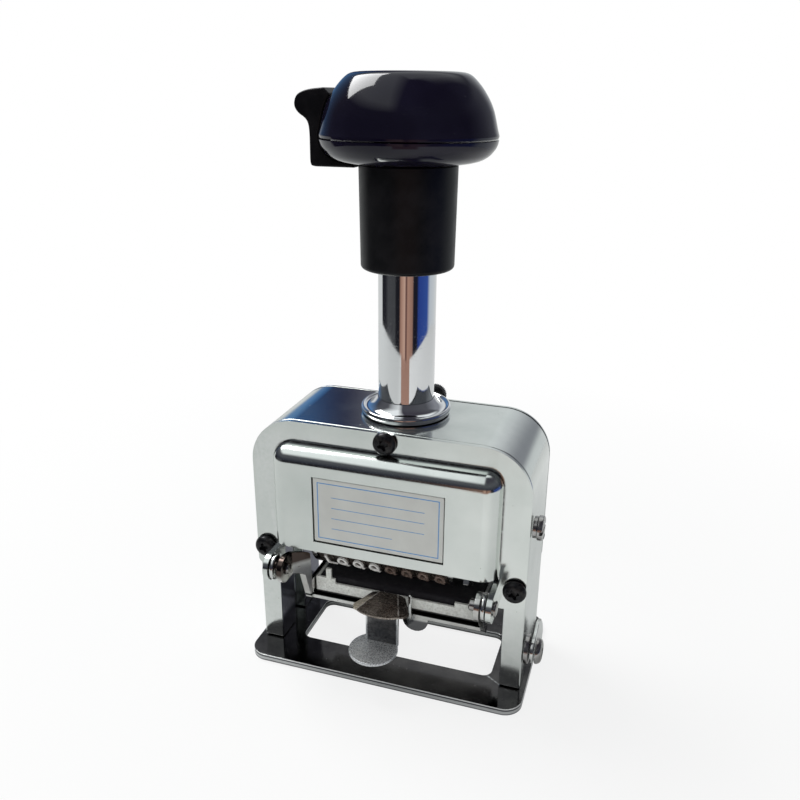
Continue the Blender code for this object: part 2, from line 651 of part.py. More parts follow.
# Cover screws
screw_x = CASE_HALF - SCREW_INSET_X
top_screw_z = CASE_TOP - TOP_SCREW_DROP
front_y = CASE_FRONT - GAP
screw("cover_screw_left", (-screw_x, front_y, SCREW_Z), FACING_FRONT, SCREW_R, SCREW_H, root, black_oxide)
screw("cover_screw_right", (screw_x, front_y, SCREW_Z), FACING_FRONT, SCREW_R, SCREW_H, root, black_oxide)
screw("cover_screw_top", (0, front_y, top_screw_z), FACING_FRONT, SCREW_R, SCREW_H, root, black_oxide)
back_y = CASE_BACK + GAP
back_top_z = CASE_TOP - BACK_TOP_SCREW_DROP
for name, x, z in (("back_screw_left", -screw_x, SCREW_Z), ("back_screw_right", screw_x, SCREW_Z),
                   ("back_screw_top_left", -BACK_TOP_SCREW_X, back_top_z),
                   ("back_screw_top_right", BACK_TOP_SCREW_X, back_top_z)):
    screw(name, (x, back_y, z), FACING_BACK, SCREW_R, SCREW_H, root, black_oxide)

# Slotted stud on the right side
stud_x = CASE_HALF + GAP
stud = turned("side_stud", [(0, STUD_H), (STUD_R * 0.85, STUD_H), (STUD_R, STUD_H * 0.85),
                            (STUD_R, STUD_H * 0.25), (STUD_R * 0.85, 0), (0, 0)],
              (stud_x, STUD_Y, STUD_Z), TURNED_RIGHT)
slot = box("stud_slot", (stud_x + STUD_H - SLOT_DEPTH, stud_x + STUD_H + OVERRUN),
           (STUD_Y - STUD_R - OVERRUN, STUD_Y + STUD_R + OVERRUN), (STUD_Z - SLOT_W / 2, STUD_Z + SLOT_W / 2))
hold(stud, root, steel)
boolean(stud, tool(slot, root))

# Lock lever on the right leg: boss, wing and pan-head screw
boss_x = CASE_HALF + GAP
lock_x = boss_x + LOCK_BOSS_H + GAP
lock_head_x = lock_x + LOCK_T + GAP
boss = turned("lock_boss", [(0, LOCK_BOSS_H), (LOCK_BOSS_R * 0.94, LOCK_BOSS_H),
                            (LOCK_BOSS_R, LOCK_BOSS_H * 0.8), (LOCK_BOSS_R, 0), (0, 0)],
              (boss_x, LOCK_Y, LOCK_Z), TURNED_RIGHT)
hold(boss, root, steel)
wing = [Vector((LOCK_LENGTH * a, LOCK_HUB_R * b)) for a, b in WING_SHARES]
hub_arc = [Vector((LOCK_HUB_R * math.cos(a), LOCK_HUB_R * math.sin(a)))
           for a in [math.radians(270 - 12 * k) for k in range(16)]]
lock = plate("lock_lever", [hub_arc + wing], LOCK_T, (lock_x + LOCK_T / 2, LOCK_Y, LOCK_Z), FACING_RIGHT)
hold(lock, lock_pivot, steel)
screw("lock_screw", (lock_head_x, LOCK_Y, LOCK_Z), TURNED_RIGHT, LOCK_SCREW_R, LOCK_SCREW_H, root, steel)

# Neck: the tube with a seat for the spring, its flared flange and the nut under the roof
neck_foot = CASE_TOP - NECK_FOOT_DROP
neck = turned("neck_tube", [(NECK_BORE, NECK_TOP), (NECK_R, NECK_TOP), (NECK_R, neck_foot),
                            (NECK_THROAT, neck_foot), (NECK_THROAT, NECK_SEAT), (NECK_BORE, NECK_SEAT)],
              (0, 0, 0), steps=TURN_STEPS, ring=True)
hold(neck, root, chrome)
flange_foot = CASE_TOP + GAP
flange_in = NECK_R + GAP
flare = [(flange_in + (FLANGE_R - flange_in) * a, FLANGE_H * b) for a, b in FLARE_SHARES]
flange = turned("neck_flange", flare + [(flange_in, 0)], (0, 0, flange_foot), steps=TURN_STEPS, ring=True)
hold(flange, root, chrome)
nut = plate("neck_nut", [circle(NUT_R, NUT_SIDES), circle(NECK_R + GAP)], NUT_H,
            (0, 0, CASE_TOP - ROOF_T - GAP - NUT_H / 2))
hold(nut, root, steel)

# Return spring in the neck, round the rod, from its seat to the ceiling of the knob
spring_foot = NECK_SEAT + GAP + SPRING_WIRE_R
spring_head = KNOB_CEILING - GAP - SPRING_WIRE_R
coil = bpy.data.curves.new("return_spring", "CURVE")
coil.dimensions = "3D"
coil.bevel_depth = SPRING_WIRE_R
coil.bevel_resolution = 1
coil.use_fill_caps = True
coil.resolution_u = 1
turns = coil.splines.new("POLY")
count = SPRING_TURNS * SPRING_POINTS
turns.points.add(count)
for k, point in enumerate(turns.points):
    angle = 2 * math.pi * k / SPRING_POINTS
    rise = (spring_head - spring_foot) * k / count
    point.co = (SPRING_R * math.cos(angle), SPRING_R * math.sin(angle), rise, 1)
spring = bpy.data.objects.new("return_spring", coil)
spring.location = (0, 0, spring_foot)
stamp.objects.link(spring)
hold(spring, root, steel)

# Knob in two shells, sleeve and rod
rod_top = KNOB_CEILING + ROD_IN_KNOB
dome = [(KNOB_R * a, KNOB_UP * b) for a, b in DOME_SHARES]
ceiling = KNOB_CEILING - KNOB_SEAM
socket = rod_top + GAP - KNOB_SEAM
knob_top = turned("knob_top", dome + [(KNOB_CAVITY_R, 0), (KNOB_CAVITY_R, ceiling), (ROD_R + GAP, ceiling),
                                      (ROD_R + GAP, socket), (0, socket)],
                  (0, 0, KNOB_SEAM), steps=TURN_STEPS)
hold(knob_top, plunger, gloss_black)
bowl = [(KNOB_R * a, -KNOB_DOWN * b) for a, b in BOWL_SHARES]
knob_foot = turned("knob_bottom", [(KNOB_CAVITY_R, 0)] + bowl + [(KNOB_CAVITY_R, -KNOB_DOWN)],
                   (0, 0, KNOB_SEAM - GAP), steps=TURN_STEPS, ring=True)
hold(knob_foot, plunger, gloss_black)
sleeve_top = KNOB_SEAM - GAP - KNOB_DOWN - GAP
sleeve_in = SLEEVE_R_FOOT - SLEEVE_WALL
sleeve = turned("grip_sleeve", [(sleeve_in, sleeve_top), (SLEEVE_R_TOP, sleeve_top),
                                (SLEEVE_R_FOOT, SLEEVE_FOOT + SLEEVE_ROUND),
                                (SLEEVE_R_FOOT - SLEEVE_ROUND * 0.3, SLEEVE_FOOT + SLEEVE_ROUND * 0.3),
                                (SLEEVE_R_FOOT - SLEEVE_ROUND, SLEEVE_FOOT), (sleeve_in, SLEEVE_FOOT)],
                (0, 0, 0), steps=TURN_STEPS, ring=True)
hold(sleeve, plunger, satin_black)
rod = turned("plunger_rod", [(0, rod_top), (ROD_R, rod_top), (ROD_R, BRIDGE_Z), (0, BRIDGE_Z)], (0, 0, 0))
hold(rod, plunger, steel)

# Finger hook: a curved arm that starts at the sleeve, passes under the knob and rises beside it
inner = [(-KNOB_R * a - GAP, KNOB_UP * b + GAP) for a, b in reversed(DOME_SHARES)
         if KNOB_UP * b < HOOK_TOP_UP - GAP]
under = [(-KNOB_R * a - GAP * 1.2, -KNOB_DOWN * b - GAP * 2.2) for a, b in BOWL_SHARES]
hook_floor = -KNOB_DOWN - GAP * 2.2 - HOOK_FLOOR
outer_x = -KNOB_R - HOOK_BACK
sleeve_side = -SLEEVE_R_TOP - GAP
beak_x = -KNOB_R - HOOK_OUT
hook_outline = ([(sleeve_side, -KNOB_DOWN - GAP * 2.2), (sleeve_side, hook_floor)]
                + [(-KNOB_R + HOOK_FLOOR, hook_floor), (outer_x + HOOK_FLOOR, hook_floor + HOOK_FLOOR / 2),
                   (outer_x, hook_floor + 2 * HOOK_FLOOR), (outer_x, HOOK_BEAK_UP * 0.3),
                   (outer_x - HOOK_BACK * 0.3, HOOK_BEAK_UP * 0.6),
                   (outer_x - HOOK_BACK, HOOK_BEAK_UP * 0.82),
                   (beak_x, HOOK_BEAK_UP), (beak_x + HOOK_BACK * 0.2, (HOOK_BEAK_UP + HOOK_TOP_UP) / 2),
                   (beak_x + HOOK_BACK, HOOK_TOP_UP * 0.97), (-KNOB_R, HOOK_TOP_UP)]
                + list(reversed(inner)) + under)
hook = plate("finger_hook", [[Vector(p) for p in hook_outline]], HOOK_T, (0, 0, KNOB_SEAM), FACING_FRONT)
hold(hook, plunger, satin_black)

# Yoke: a bridge, two side plates with eyes for the axle, and a tongue for the groove of each leg
yoke = box("wheel_yoke", (-YOKE_PLATE_X - YOKE_PLATE_T, YOKE_PLATE_X + YOKE_PLATE_T),
           (WHEEL_Y - YOKE_HALF_D, ROD_R + YOKE_RIM), (BRIDGE_Z, BRIDGE_TOP))
plate_outline = [rounded([(-YOKE_EYE_R, -YOKE_EYE_R, YOKE_EYE_R * 0.9),
                          (YOKE_EYE_R, -YOKE_EYE_R, YOKE_EYE_R * 0.9),
                          (YOKE_HALF_D, BRIDGE_Z - WHEEL_Z - YOKE_EYE_R, 0),
                          (YOKE_HALF_D, BRIDGE_Z - WHEEL_Z + SEAT, 0),
                          (-YOKE_HALF_D, BRIDGE_Z - WHEEL_Z + SEAT, 0),
                          (-YOKE_HALF_D, BRIDGE_Z - WHEEL_Z - YOKE_EYE_R, 0)]),
                 circle(AXLE_R + GAP)]
tongue_out = LEG_INSIDE + GROOVE_DEPTH - GAP
for side, sign in (("left", -1), ("right", 1)):
    cheek = plate("cheek_" + side, plate_outline, YOKE_PLATE_T,
                  (sign * (YOKE_PLATE_X + YOKE_PLATE_T / 2), WHEEL_Y, WHEEL_Z), FACING_RIGHT)
    boolean(yoke, tool(cheek, plunger), "UNION")
    tongue = box("tongue_" + side, sorted((sign * (YOKE_PLATE_X + YOKE_PLATE_T / 2), sign * tongue_out)),
                 (GROOVE_Y - GROOVE_W / 2 + GAP, GROOVE_Y + GROOVE_W / 2 - GAP),
                 (BRIDGE_TOP - TONGUE_H, BRIDGE_TOP - BRIDGE_T / 4))
    boolean(yoke, tool(tongue, plunger), "UNION")
rod_hole = turned("rod_hole", [(0, BRIDGE_TOP + OVERRUN), (ROD_R + GAP, BRIDGE_TOP + OVERRUN),
                               (ROD_R + GAP, BRIDGE_Z - OVERRUN), (0, BRIDGE_Z - OVERRUN)], (0, 0, 0))
boolean(yoke, tool(rod_hole, plunger))
hold(yoke, plunger, steel)
rod_nut = plate("rod_nut", [circle(ROD_NUT_R, NUT_SIDES), circle(ROD_R + GAP)], ROD_NUT_H,
                (0, 0, BRIDGE_TOP + GAP + ROD_NUT_H / 2))
hold(rod_nut, plunger, steel)

# Axle, number wheels, plain disc, ratchet and spacer
axle_end = YOKE_PLATE_X + YOKE_PLATE_T + 2 * GAP
axle = turned("wheel_axle", [(0, axle_end), (AXLE_R, axle_end), (AXLE_R, -axle_end), (0, -axle_end)],
              (0, WHEEL_Y, WHEEL_Z), TURNED_RIGHT)
hold(axle, axle_line, steel)
land_outline = []
for k in range(LANDS):
    middle = 2 * math.pi * k / LANDS
    half = LAND_SHARE * math.pi / LANDS * 2
    for angle, radius in ((middle - half - half / 5, WHEEL_R - LAND_H), (middle - half, WHEEL_R),
                          (middle, WHEEL_R), (middle + half, WHEEL_R),
                          (middle + half + half / 5, WHEEL_R - LAND_H)):
        land_outline.append(Vector((radius * math.cos(angle), radius * math.sin(angle))))
wheel_bore = circle(AXLE_R + GAP, SMALL_TURN_STEPS * 3 // 4)
for k in range(WHEEL_COUNT):
    wheel = plate("number_wheel_%d" % (k + 1), [land_outline, wheel_bore], WHEEL_T,
                  (WHEEL_FIRST_X + k * WHEEL_PITCH, WHEEL_Y, WHEEL_Z), FACING_RIGHT)
    hold(wheel, axle_line, type_metal)
first_x = WHEEL_FIRST_X - WHEEL_T / 2
last_x = WHEEL_FIRST_X + (WHEEL_COUNT - 1) * WHEEL_PITCH + WHEEL_T / 2
disc_left = first_x - GAP - DISC_T
collar_left = -YOKE_PLATE_X + GAP
collar_t = disc_left - GAP - collar_left
end_disc_x = last_x + GAP
spacer_x = end_disc_x + END_DISC_T + GAP
ratchet_x = spacer_x + SPACER_T + GAP
feed_x = ratchet_x + DISC_T + GAP
for name, radius, thickness, start, steps, look in (
        ("side_disc", DISC_R, DISC_T, disc_left, TURN_STEPS, steel),
        ("axle_collar", COLLAR_R, collar_t, collar_left, SMALL_TURN_STEPS, brass),
        ("end_disc", DISC_R, END_DISC_T, end_disc_x, TURN_STEPS, steel),
        ("wheel_spacer", SPACER_R, SPACER_T, spacer_x, SMALL_TURN_STEPS, brass)):
    ring = plate(name, [circle(radius, steps), circle(AXLE_R + GAP)], thickness,
                 (start + thickness / 2, WHEEL_Y, WHEEL_Z), FACING_RIGHT)
    hold(ring, axle_line, look)
teeth = []
for k in range(RATCHET_TEETH):
    start = 2 * math.pi * k / RATCHET_TEETH
    reach = 2 * math.pi / RATCHET_TEETH
    teeth.append(Vector((RATCHET_R * math.cos(start), RATCHET_R * math.sin(start))))
    teeth.append(Vector(((RATCHET_R - RATCHET_TOOTH * 0.3) * math.cos(start + reach * 0.35),
                         (RATCHET_R - RATCHET_TOOTH * 0.3) * math.sin(start + reach * 0.35))))
    teeth.append(Vector(((RATCHET_R - RATCHET_TOOTH) * math.cos(start + reach * 0.9),
                         (RATCHET_R - RATCHET_TOOTH) * math.sin(start + reach * 0.9))))
ratchet = plate("ratchet_disc", [teeth, circle(AXLE_R + GAP)], DISC_T,
                (ratchet_x + DISC_T / 2, WHEEL_Y, WHEEL_Z), FACING_RIGHT)
hold(ratchet, axle_line, steel)

# Detent comb under the bridge, with one finger on each wheel
finger_z = WHEEL_Z + math.sqrt((WHEEL_R + GAP) ** 2 - (COMB_Y - COMB_T / 2) ** 2)
comb_top = BRIDGE_Z - GAP
comb_foot = comb_top - COMB_BACK_H
comb_points = [(first_x, comb_foot)]
for k in range(WHEEL_COUNT):
    middle = WHEEL_FIRST_X + k * WHEEL_PITCH
    comb_points += [(middle - COMB_FINGER_W / 2, comb_foot), (middle - COMB_FINGER_W / 4, finger_z),
                    (middle + COMB_FINGER_W / 4, finger_z), (middle + COMB_FINGER_W / 2, comb_foot)]
comb_points += [(last_x, comb_foot), (last_x, comb_top), (first_x, comb_top)]
comb = plate("detent_comb", [[Vector(p) for p in comb_points]], COMB_T,
             (0, WHEEL_Y + COMB_Y, 0), FACING_FRONT)
hold(comb, plunger, brass)

# Feed arm: a hub on the axle, an arm and a bar over the wheels, which swings back as the plunger drops
direction = Vector((math.cos(FEED_REST), math.sin(FEED_REST)))
across = Vector((-direction.y, direction.x))
feed_half = FEED_BAR / 2
feed_outline = [direction * (FEED_REACH + feed_half) - across * feed_half * 1.6,
                direction * (FEED_REACH + feed_half) + across * feed_half * 1.6]
for k in range(15):
    angle = FEED_REST + math.radians(60 + 240 * k / 14)
    feed_outline.append(Vector((math.cos(angle), math.sin(angle))) * FEED_HUB_R)
feed = plate("feed_arm", [feed_outline, circle(AXLE_R + GAP)], FEED_T,
             (feed_x + FEED_T / 2, WHEEL_Y, WHEEL_Z), FACING_RIGHT)
bar_middle = direction * FEED_REACH
bar = box("feed_bar", (first_x, feed_x + FEED_T * 0.75),
          (WHEEL_Y + bar_middle.x - feed_half, WHEEL_Y + bar_middle.x + feed_half),
          (WHEEL_Z + bar_middle.y - feed_half, WHEEL_Z + bar_middle.y + feed_half))
boolean(feed, tool(bar, axle_line), "UNION")
hold(feed, axle_line, steel)

# Pad pivots: a headed pin and a washer on each side
for side, sign, facing in (("left", -1, TURNED_LEFT), ("right", 1, TURNED_RIGHT)):
    head = LUG_INSIDE + LUG_T + GAP
    pin = turned("pad_pin_" + side, [(0, head + PIN_HEAD_T), (PIN_HEAD_R * 0.8, head + PIN_HEAD_T),
                                     (PIN_HEAD_R, head + PIN_HEAD_T * 0.6), (PIN_HEAD_R, head), (PIN_R, head),
                                     (PIN_R, PIN_INNER), (0, PIN_INNER)], (0, PIVOT_Y, PIVOT_Z), facing)
    hold(pin, root, steel)
    washer = turned("pivot_washer_" + side, [(PIN_R + GAP, LUG_INSIDE - GAP), (WASHER_R, LUG_INSIDE - GAP),
                                             (WASHER_R, LUG_INSIDE - GAP - WASHER_T),
                                             (PIN_R + GAP, LUG_INSIDE - GAP - WASHER_T)],
                    (0, PIVOT_Y, PIVOT_Z), facing, ring=True)
    hold(washer, root, steel)

# Pad carrier: a shelf with two side walls, an arm and an ear on each side, and a stop tab below
shelf_top = SHELF_Z + SHELF_T
wall_top = SHELF_Z + SHELF_WALL_H
arm_back = TRAY_FRONT - GAP
arm_foot = SHELF_Z + ARM_STEP
arm_top = wall_top - ARM_STEP
trough = [Vector(p) for p in (
    (SHELF_LEFT, SHELF_Z), (SHELF_RIGHT, SHELF_Z), (SHELF_RIGHT, wall_top),
    (SHELF_RIGHT - SHELF_WALL, wall_top), (SHELF_RIGHT - SHELF_WALL, shelf_top),
    (SHELF_LEFT + SHELF_WALL, shelf_top), (SHELF_LEFT + SHELF_WALL, wall_top), (SHELF_LEFT, wall_top))]
carrier = plate("pad_carrier", [trough], SHELF_BACK - SHELF_FRONT,
                (0, (SHELF_BACK + SHELF_FRONT) / 2, 0), FACING_FRONT)
arm_outline = [rounded([(PIVOT_Y - EAR_R, PIVOT_Z - EAR_R, EAR_R * 0.9),
                        (PIVOT_Y + EAR_R * 0.2, PIVOT_Z - EAR_R, 0),
                        (SHELF_FRONT - EAR_T / 2, arm_foot, SHELF_T / 2), (arm_back, arm_foot, 0),
                        (arm_back, arm_top, 0), (SHELF_FRONT, arm_top, 0),
                        (PIVOT_Y + EAR_R, PIVOT_Z + EAR_R * 0.4, EAR_R * 0.5),
                        (PIVOT_Y + EAR_R * 0.2, PIVOT_Z + EAR_R, EAR_R * 0.1),
                        (PIVOT_Y - EAR_R, PIVOT_Z + EAR_R, EAR_R * 0.9)])]
horn_front = SHELF_FRONT - HORN_FORWARD
horn_outline = [rounded([(PIVOT_Y - EAR_R, PIVOT_Z - EAR_R, EAR_R * 0.9),
                         (PIVOT_Y + EAR_R, PIVOT_Z - EAR_R, EAR_R * 0.6),
                         (horn_front - EAR_T, PIVOT_Z - EAR_R * 1.3, EAR_R * 0.4),
                         (horn_front, arm_foot, SHELF_T / 2), (arm_back, arm_foot, 0),
                         (arm_back, arm_top, 0), (horn_front + EAR_T / 4, arm_top, 0),
                         (horn_front, PIVOT_Z + EAR_R * 0.4, EAR_R * 0.3),
                         (PIVOT_Y + EAR_R, PIVOT_Z + EAR_R * 0.75, EAR_R * 0.5),
                         (PIVOT_Y + EAR_R * 0.2, PIVOT_Z + EAR_R, EAR_R * 0.1),
                         (PIVOT_Y - EAR_R, PIVOT_Z + EAR_R, EAR_R * 0.9)])]
ear_bore = [(0, CASE_HALF), (PIN_R + GAP, CASE_HALF), (PIN_R + GAP, -CASE_HALF), (0, -CASE_HALF)]
arm_in = SHELF_LEFT + SHELF_WALL - ARM_STEP
arm_out = SHELF_LEFT - ARM_STEP
jog = EAR_LEFT + EAR_T - arm_in
left_plan = [Vector(p) for p in (
    (EAR_LEFT, PIVOT_Y - EAR_R - OVERRUN), (EAR_LEFT + EAR_T, PIVOT_Y - EAR_R - OVERRUN),
    (EAR_LEFT + EAR_T, PIVOT_Y + EAR_R * 0.9), (arm_in, SHELF_FRONT - EAR_T / 2), (arm_in, 0), (arm_out, 0),
    (arm_out, SHELF_FRONT), (EAR_LEFT, PIVOT_Y + EAR_R * 0.9 + EAR_T / 2))]
left_arm = plate("arm_left", [left_plan], 2 * PIVOT_Z, (0, 0, PIVOT_Z))
left_side = plate("arm_side", horn_outline, -2 * jog + 2 * EAR_T, (EAR_LEFT - jog / 2, 0, 0), FACING_RIGHT)
boolean(left_arm, tool(left_side, pad_pivot), "INTERSECT")
ear_right = SHELF_RIGHT - SHELF_WALL + ARM_STEP
right_arm = plate("arm_right", arm_outline, EAR_T, (ear_right + EAR_T / 2, 0, 0), FACING_RIGHT)
boolean(carrier, tool(left_arm, pad_pivot), "UNION")
boolean(carrier, tool(right_arm, pad_pivot), "UNION")
tab_z = SHELF_Z - STOP_TAB_DROP
tab_points = [Vector((STOP_TAB_X + STOP_TAB_R * math.cos(a), tab_z + STOP_TAB_R * math.sin(a)))
              for a in [math.pi + math.pi * k / 10 for k in range(11)]]
tab_points += [Vector((STOP_TAB_X + STOP_TAB_R, SHELF_Z + SHELF_T / 2)),
               Vector((STOP_TAB_X - STOP_TAB_R, SHELF_Z + SHELF_T / 2))]
stop_tab = plate("stop_tab", [tab_points], SHELF_WALL, (0, SHELF_FRONT + SHELF_WALL, 0), FACING_FRONT)
boolean(carrier, tool(stop_tab, pad_pivot), "UNION")
bore = turned("ear_bore", ear_bore, (0, PIVOT_Y, PIVOT_Z), TURNED_RIGHT)
boolean(carrier, tool(bore, pad_pivot))
hold(carrier, pad_pivot, chrome)

# Ink tray with its notch and small lug, and the felt in it
tray = box("ink_tray", (TRAY_LEFT, TRAY_RIGHT), (TRAY_FRONT, TRAY_BACK), (TRAY_Z, TRAY_Z + TRAY_H))
tray_lug = box("tray_lug", (TAB_X - TAB_W / 2, TAB_X + TAB_W / 2), (TRAY_FRONT, TRAY_FRONT + TRAY_WALL),
               (TRAY_Z + TRAY_H / 2, TRAY_Z + TRAY_H + TAB_RISE))
boolean(tray, tool(tray_lug, pad_pivot), "UNION")
basin = box("tray_basin", (TRAY_LEFT + TRAY_WALL, TRAY_RIGHT - TRAY_WALL),
            (TRAY_FRONT + TRAY_WALL, TRAY_BACK - TRAY_WALL),
            (TRAY_Z + TRAY_FLOOR, TRAY_Z + TRAY_H + 2 * TAB_RISE))
boolean(tray, tool(basin, pad_pivot))
notch = box("tray_notch", (NOTCH_LEFT, NOTCH_RIGHT),
            (TRAY_FRONT - OVERRUN, TRAY_FRONT + TRAY_WALL + OVERRUN / 2),
            (TRAY_Z + TRAY_H - NOTCH_DEPTH, TRAY_Z + TRAY_H + OVERRUN))
boolean(tray, tool(notch, pad_pivot))
hold(tray, pad_pivot, galvanised)
pad = box("ink_pad", (TRAY_LEFT + TRAY_WALL + GAP, TRAY_RIGHT - TRAY_WALL - GAP),
          (TRAY_FRONT + TRAY_WALL + GAP, TRAY_BACK - TRAY_WALL - GAP), (PAD_TOP - PAD_H, PAD_TOP))
hold(bevel(pad, PAD_EDGE), pad_pivot, ink_felt)

# Thumb grip: a fan-shaped upper plate, a web and a round lower plate; and the catch beside it
fan = [Vector((GRIP_X + GRIP_NECK / 2, GRIP_BACK)), Vector((GRIP_X - GRIP_NECK / 2, GRIP_BACK))]
for k in range(4 * ARC_STEPS + 1):
    angle = math.pi * k / (4 * ARC_STEPS)
    fan.append(Vector((GRIP_X - GRIP_TOP_R * math.cos(angle),
                       GRIP_BACK - GRIP_TOP_OUT - (GRIP_TOP_FRONT - GRIP_TOP_OUT) * math.sin(angle))))
grip = plate("tray_grip", [fan], GRIP_T, (0, 0, GRIP_Z + GRIP_T / 2))
web_front = GRIP_BACK - GRIP_WEB_OUT - GRIP_T
web = box("grip_web", (GRIP_X - GRIP_WEB_W / 2, GRIP_X + GRIP_WEB_W / 2), (web_front, web_front + GRIP_T),
          (GRIP_Z - GRIP_WEB_H, GRIP_Z + GRIP_T / 2))
boolean(grip, tool(web, pad_pivot), "UNION")
foot_y = GRIP_BACK - GRIP_WEB_OUT - GRIP_FOOT_OUT
grip_foot = plate("grip_foot", [circle(GRIP_FOOT_R, TURN_STEPS, GRIP_X - GRIP_FOOT_ASIDE, foot_y)],
                  GRIP_T, (0, 0, GRIP_Z - GRIP_WEB_H))
boolean(grip, tool(grip_foot, pad_pivot), "UNION")
hold(grip, pad_pivot, dark_chrome)
catch_back = SHELF_FRONT - GAP
catch_front = catch_back - CATCH_D
fan_flare = (GRIP_TOP_R - GRIP_NECK / 2) / GRIP_TOP_OUT
catch_x = GRIP_X + GRIP_NECK / 2 + (GRIP_BACK - catch_front) * fan_flare + GAP
catch_top = GRIP_Z + GRIP_T + CATCH_RISE
catch = box("tray_catch", (catch_x, catch_x + CATCH_W), (catch_front, catch_back),
            (catch_top - CATCH_H, catch_top))
hold(bevel(catch, CATCH_W / 4), pad_pivot, steel)
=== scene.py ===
import bmesh
import bpy
import math
import random
from mathutils import Matrix, Vector


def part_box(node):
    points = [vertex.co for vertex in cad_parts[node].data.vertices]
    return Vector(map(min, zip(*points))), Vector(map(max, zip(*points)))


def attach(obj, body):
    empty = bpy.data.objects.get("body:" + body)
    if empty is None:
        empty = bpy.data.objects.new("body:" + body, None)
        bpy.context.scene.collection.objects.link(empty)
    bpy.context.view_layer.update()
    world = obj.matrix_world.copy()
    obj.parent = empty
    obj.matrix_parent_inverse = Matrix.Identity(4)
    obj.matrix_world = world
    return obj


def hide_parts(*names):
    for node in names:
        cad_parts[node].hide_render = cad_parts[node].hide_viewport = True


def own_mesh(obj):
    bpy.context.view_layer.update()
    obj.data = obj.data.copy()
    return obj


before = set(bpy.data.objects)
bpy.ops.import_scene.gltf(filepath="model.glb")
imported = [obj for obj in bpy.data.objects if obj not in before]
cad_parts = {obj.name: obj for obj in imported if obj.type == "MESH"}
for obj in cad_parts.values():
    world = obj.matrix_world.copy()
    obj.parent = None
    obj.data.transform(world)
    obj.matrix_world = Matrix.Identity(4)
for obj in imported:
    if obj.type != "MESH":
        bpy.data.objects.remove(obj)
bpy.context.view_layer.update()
mm = 0.001

neckLow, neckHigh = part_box("neck_tube")
axisX = (neckLow.x + neckHigh.x) / 2  # shapes are drawn in mm from the neck's axis, with z up from the table
axisY = (neckLow.y + neckHigh.y) / 2
shift = Matrix.Translation((axisX, axisY, 0)) @ Matrix.Scale(mm, 4)


def at(x, y, z):
    return shift @ Vector((x, y, z))


def inMm(node):
    # a CAD node's lowest corner, highest corner and middle
    low, high = [shift.inverted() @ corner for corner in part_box(node)]
    return low, high, (low + high) / 2


# shader sums
class Wire:
    def __init__(self, tree, socket=None):
        self.tree = tree
        self.socket = socket

    def node(self, kind, settings=None, inputs=None, out=0):
        made = self.tree.nodes.new("ShaderNode" + kind)
        for name, value in (settings or {}).items():
            if name == "stops":
                stops = made.color_ramp.elements
                while len(stops) < len(value):
                    stops.new(1.0)
                for stop, (place, colour) in zip(stops, value):
                    stop.position = place
                    stop.color = (*colour, 1.0)
            else:
                setattr(made, name, value)
        for name, value in (inputs or {}).items():
            if isinstance(value, Wire):
                self.tree.links.new(value.socket, made.inputs[name])
            else:
                made.inputs[name].default_value = value
        return Wire(self.tree, made.outputs[out])

    def math(self, operation, *values):
        return self.node("Math", {"operation": operation}, dict(enumerate(values)))

    def __add__(self, other):
        return self.math("ADD", self, other)

    __radd__ = __add__

    def __sub__(self, other):
        return self.math("SUBTRACT", self, other)

    def __rsub__(self, other):
        return self.math("SUBTRACT", other, self)

    def __mul__(self, other):
        return self.math("MULTIPLY", self, other)

    __rmul__ = __mul__

    def __truediv__(self, other):
        return self.math("DIVIDE", self, other)

    def __lt__(self, other):
        return self.math("LESS_THAN", self, other)

    def __gt__(self, other):
        return self.math("GREATER_THAN", self, other)

    def __abs__(self):
        return self.math("ABSOLUTE", self)

    def part(self, index):
        return self.node("SeparateXYZ", None, {0: self}, index)

    def fromAxis(self, index):
        # one part of a place, in mm
        return (self.part(index) - (axisX, axisY, 0)[index]) / mm

    def mix(self, first, second):
        # first where this is 0, second where it is 1
        first = (*first, 1.0) if isinstance(first, tuple) else first
        second = (*second, 1.0) if isinstance(second, tuple) else second
        return self.node("Mix", {"data_type": "RGBA"}, {0: self, 6: first, 7: second}, 2)

    def between(self, low, high, start=0.0, stop=1.0):
        return self.node("MapRange", None, {0: self, 1: low, 2: high, 3: start, 4: stop})


def surface(name, slot, paint):
    # paint(wire, place) gives the values and links of the main shader's sockets
    made = bpy.data.materials.new(name)
    made.use_nodes = True
    tree = made.node_tree
    shader = tree.nodes["Principled BSDF"]
    wire = Wire(tree)
    place = wire.node("TexCoord", out="Object")
    for socket, value in paint(wire, place).items():
        if isinstance(value, Wire):
            tree.links.new(value.socket, shader.inputs[socket])
        else:
            shader.inputs[socket].default_value = value
    made["slot"] = slot
    return made


def noise(wire, place, sizeMm, detail=3.0, roughness=0.55, stretch=None):
    if stretch:
        place = wire.node("Mapping", None, {0: place, "Scale": stretch})
    inputs = {"Vector": place, "Scale": 1 / (sizeMm * mm), "Detail": detail, "Roughness": roughness}
    return wire.node("TexNoise", None, inputs)


def cells(wire, place, sizeMm):
    return wire.node("TexVoronoi", None, {"Vector": place, "Scale": 1 / (sizeMm * mm)})


def bumped(wire, height, depthMm, strength=1.0):
    return wire.node("Bump", None, {"Strength": strength, "Distance": depthMm * mm, "Height": height})


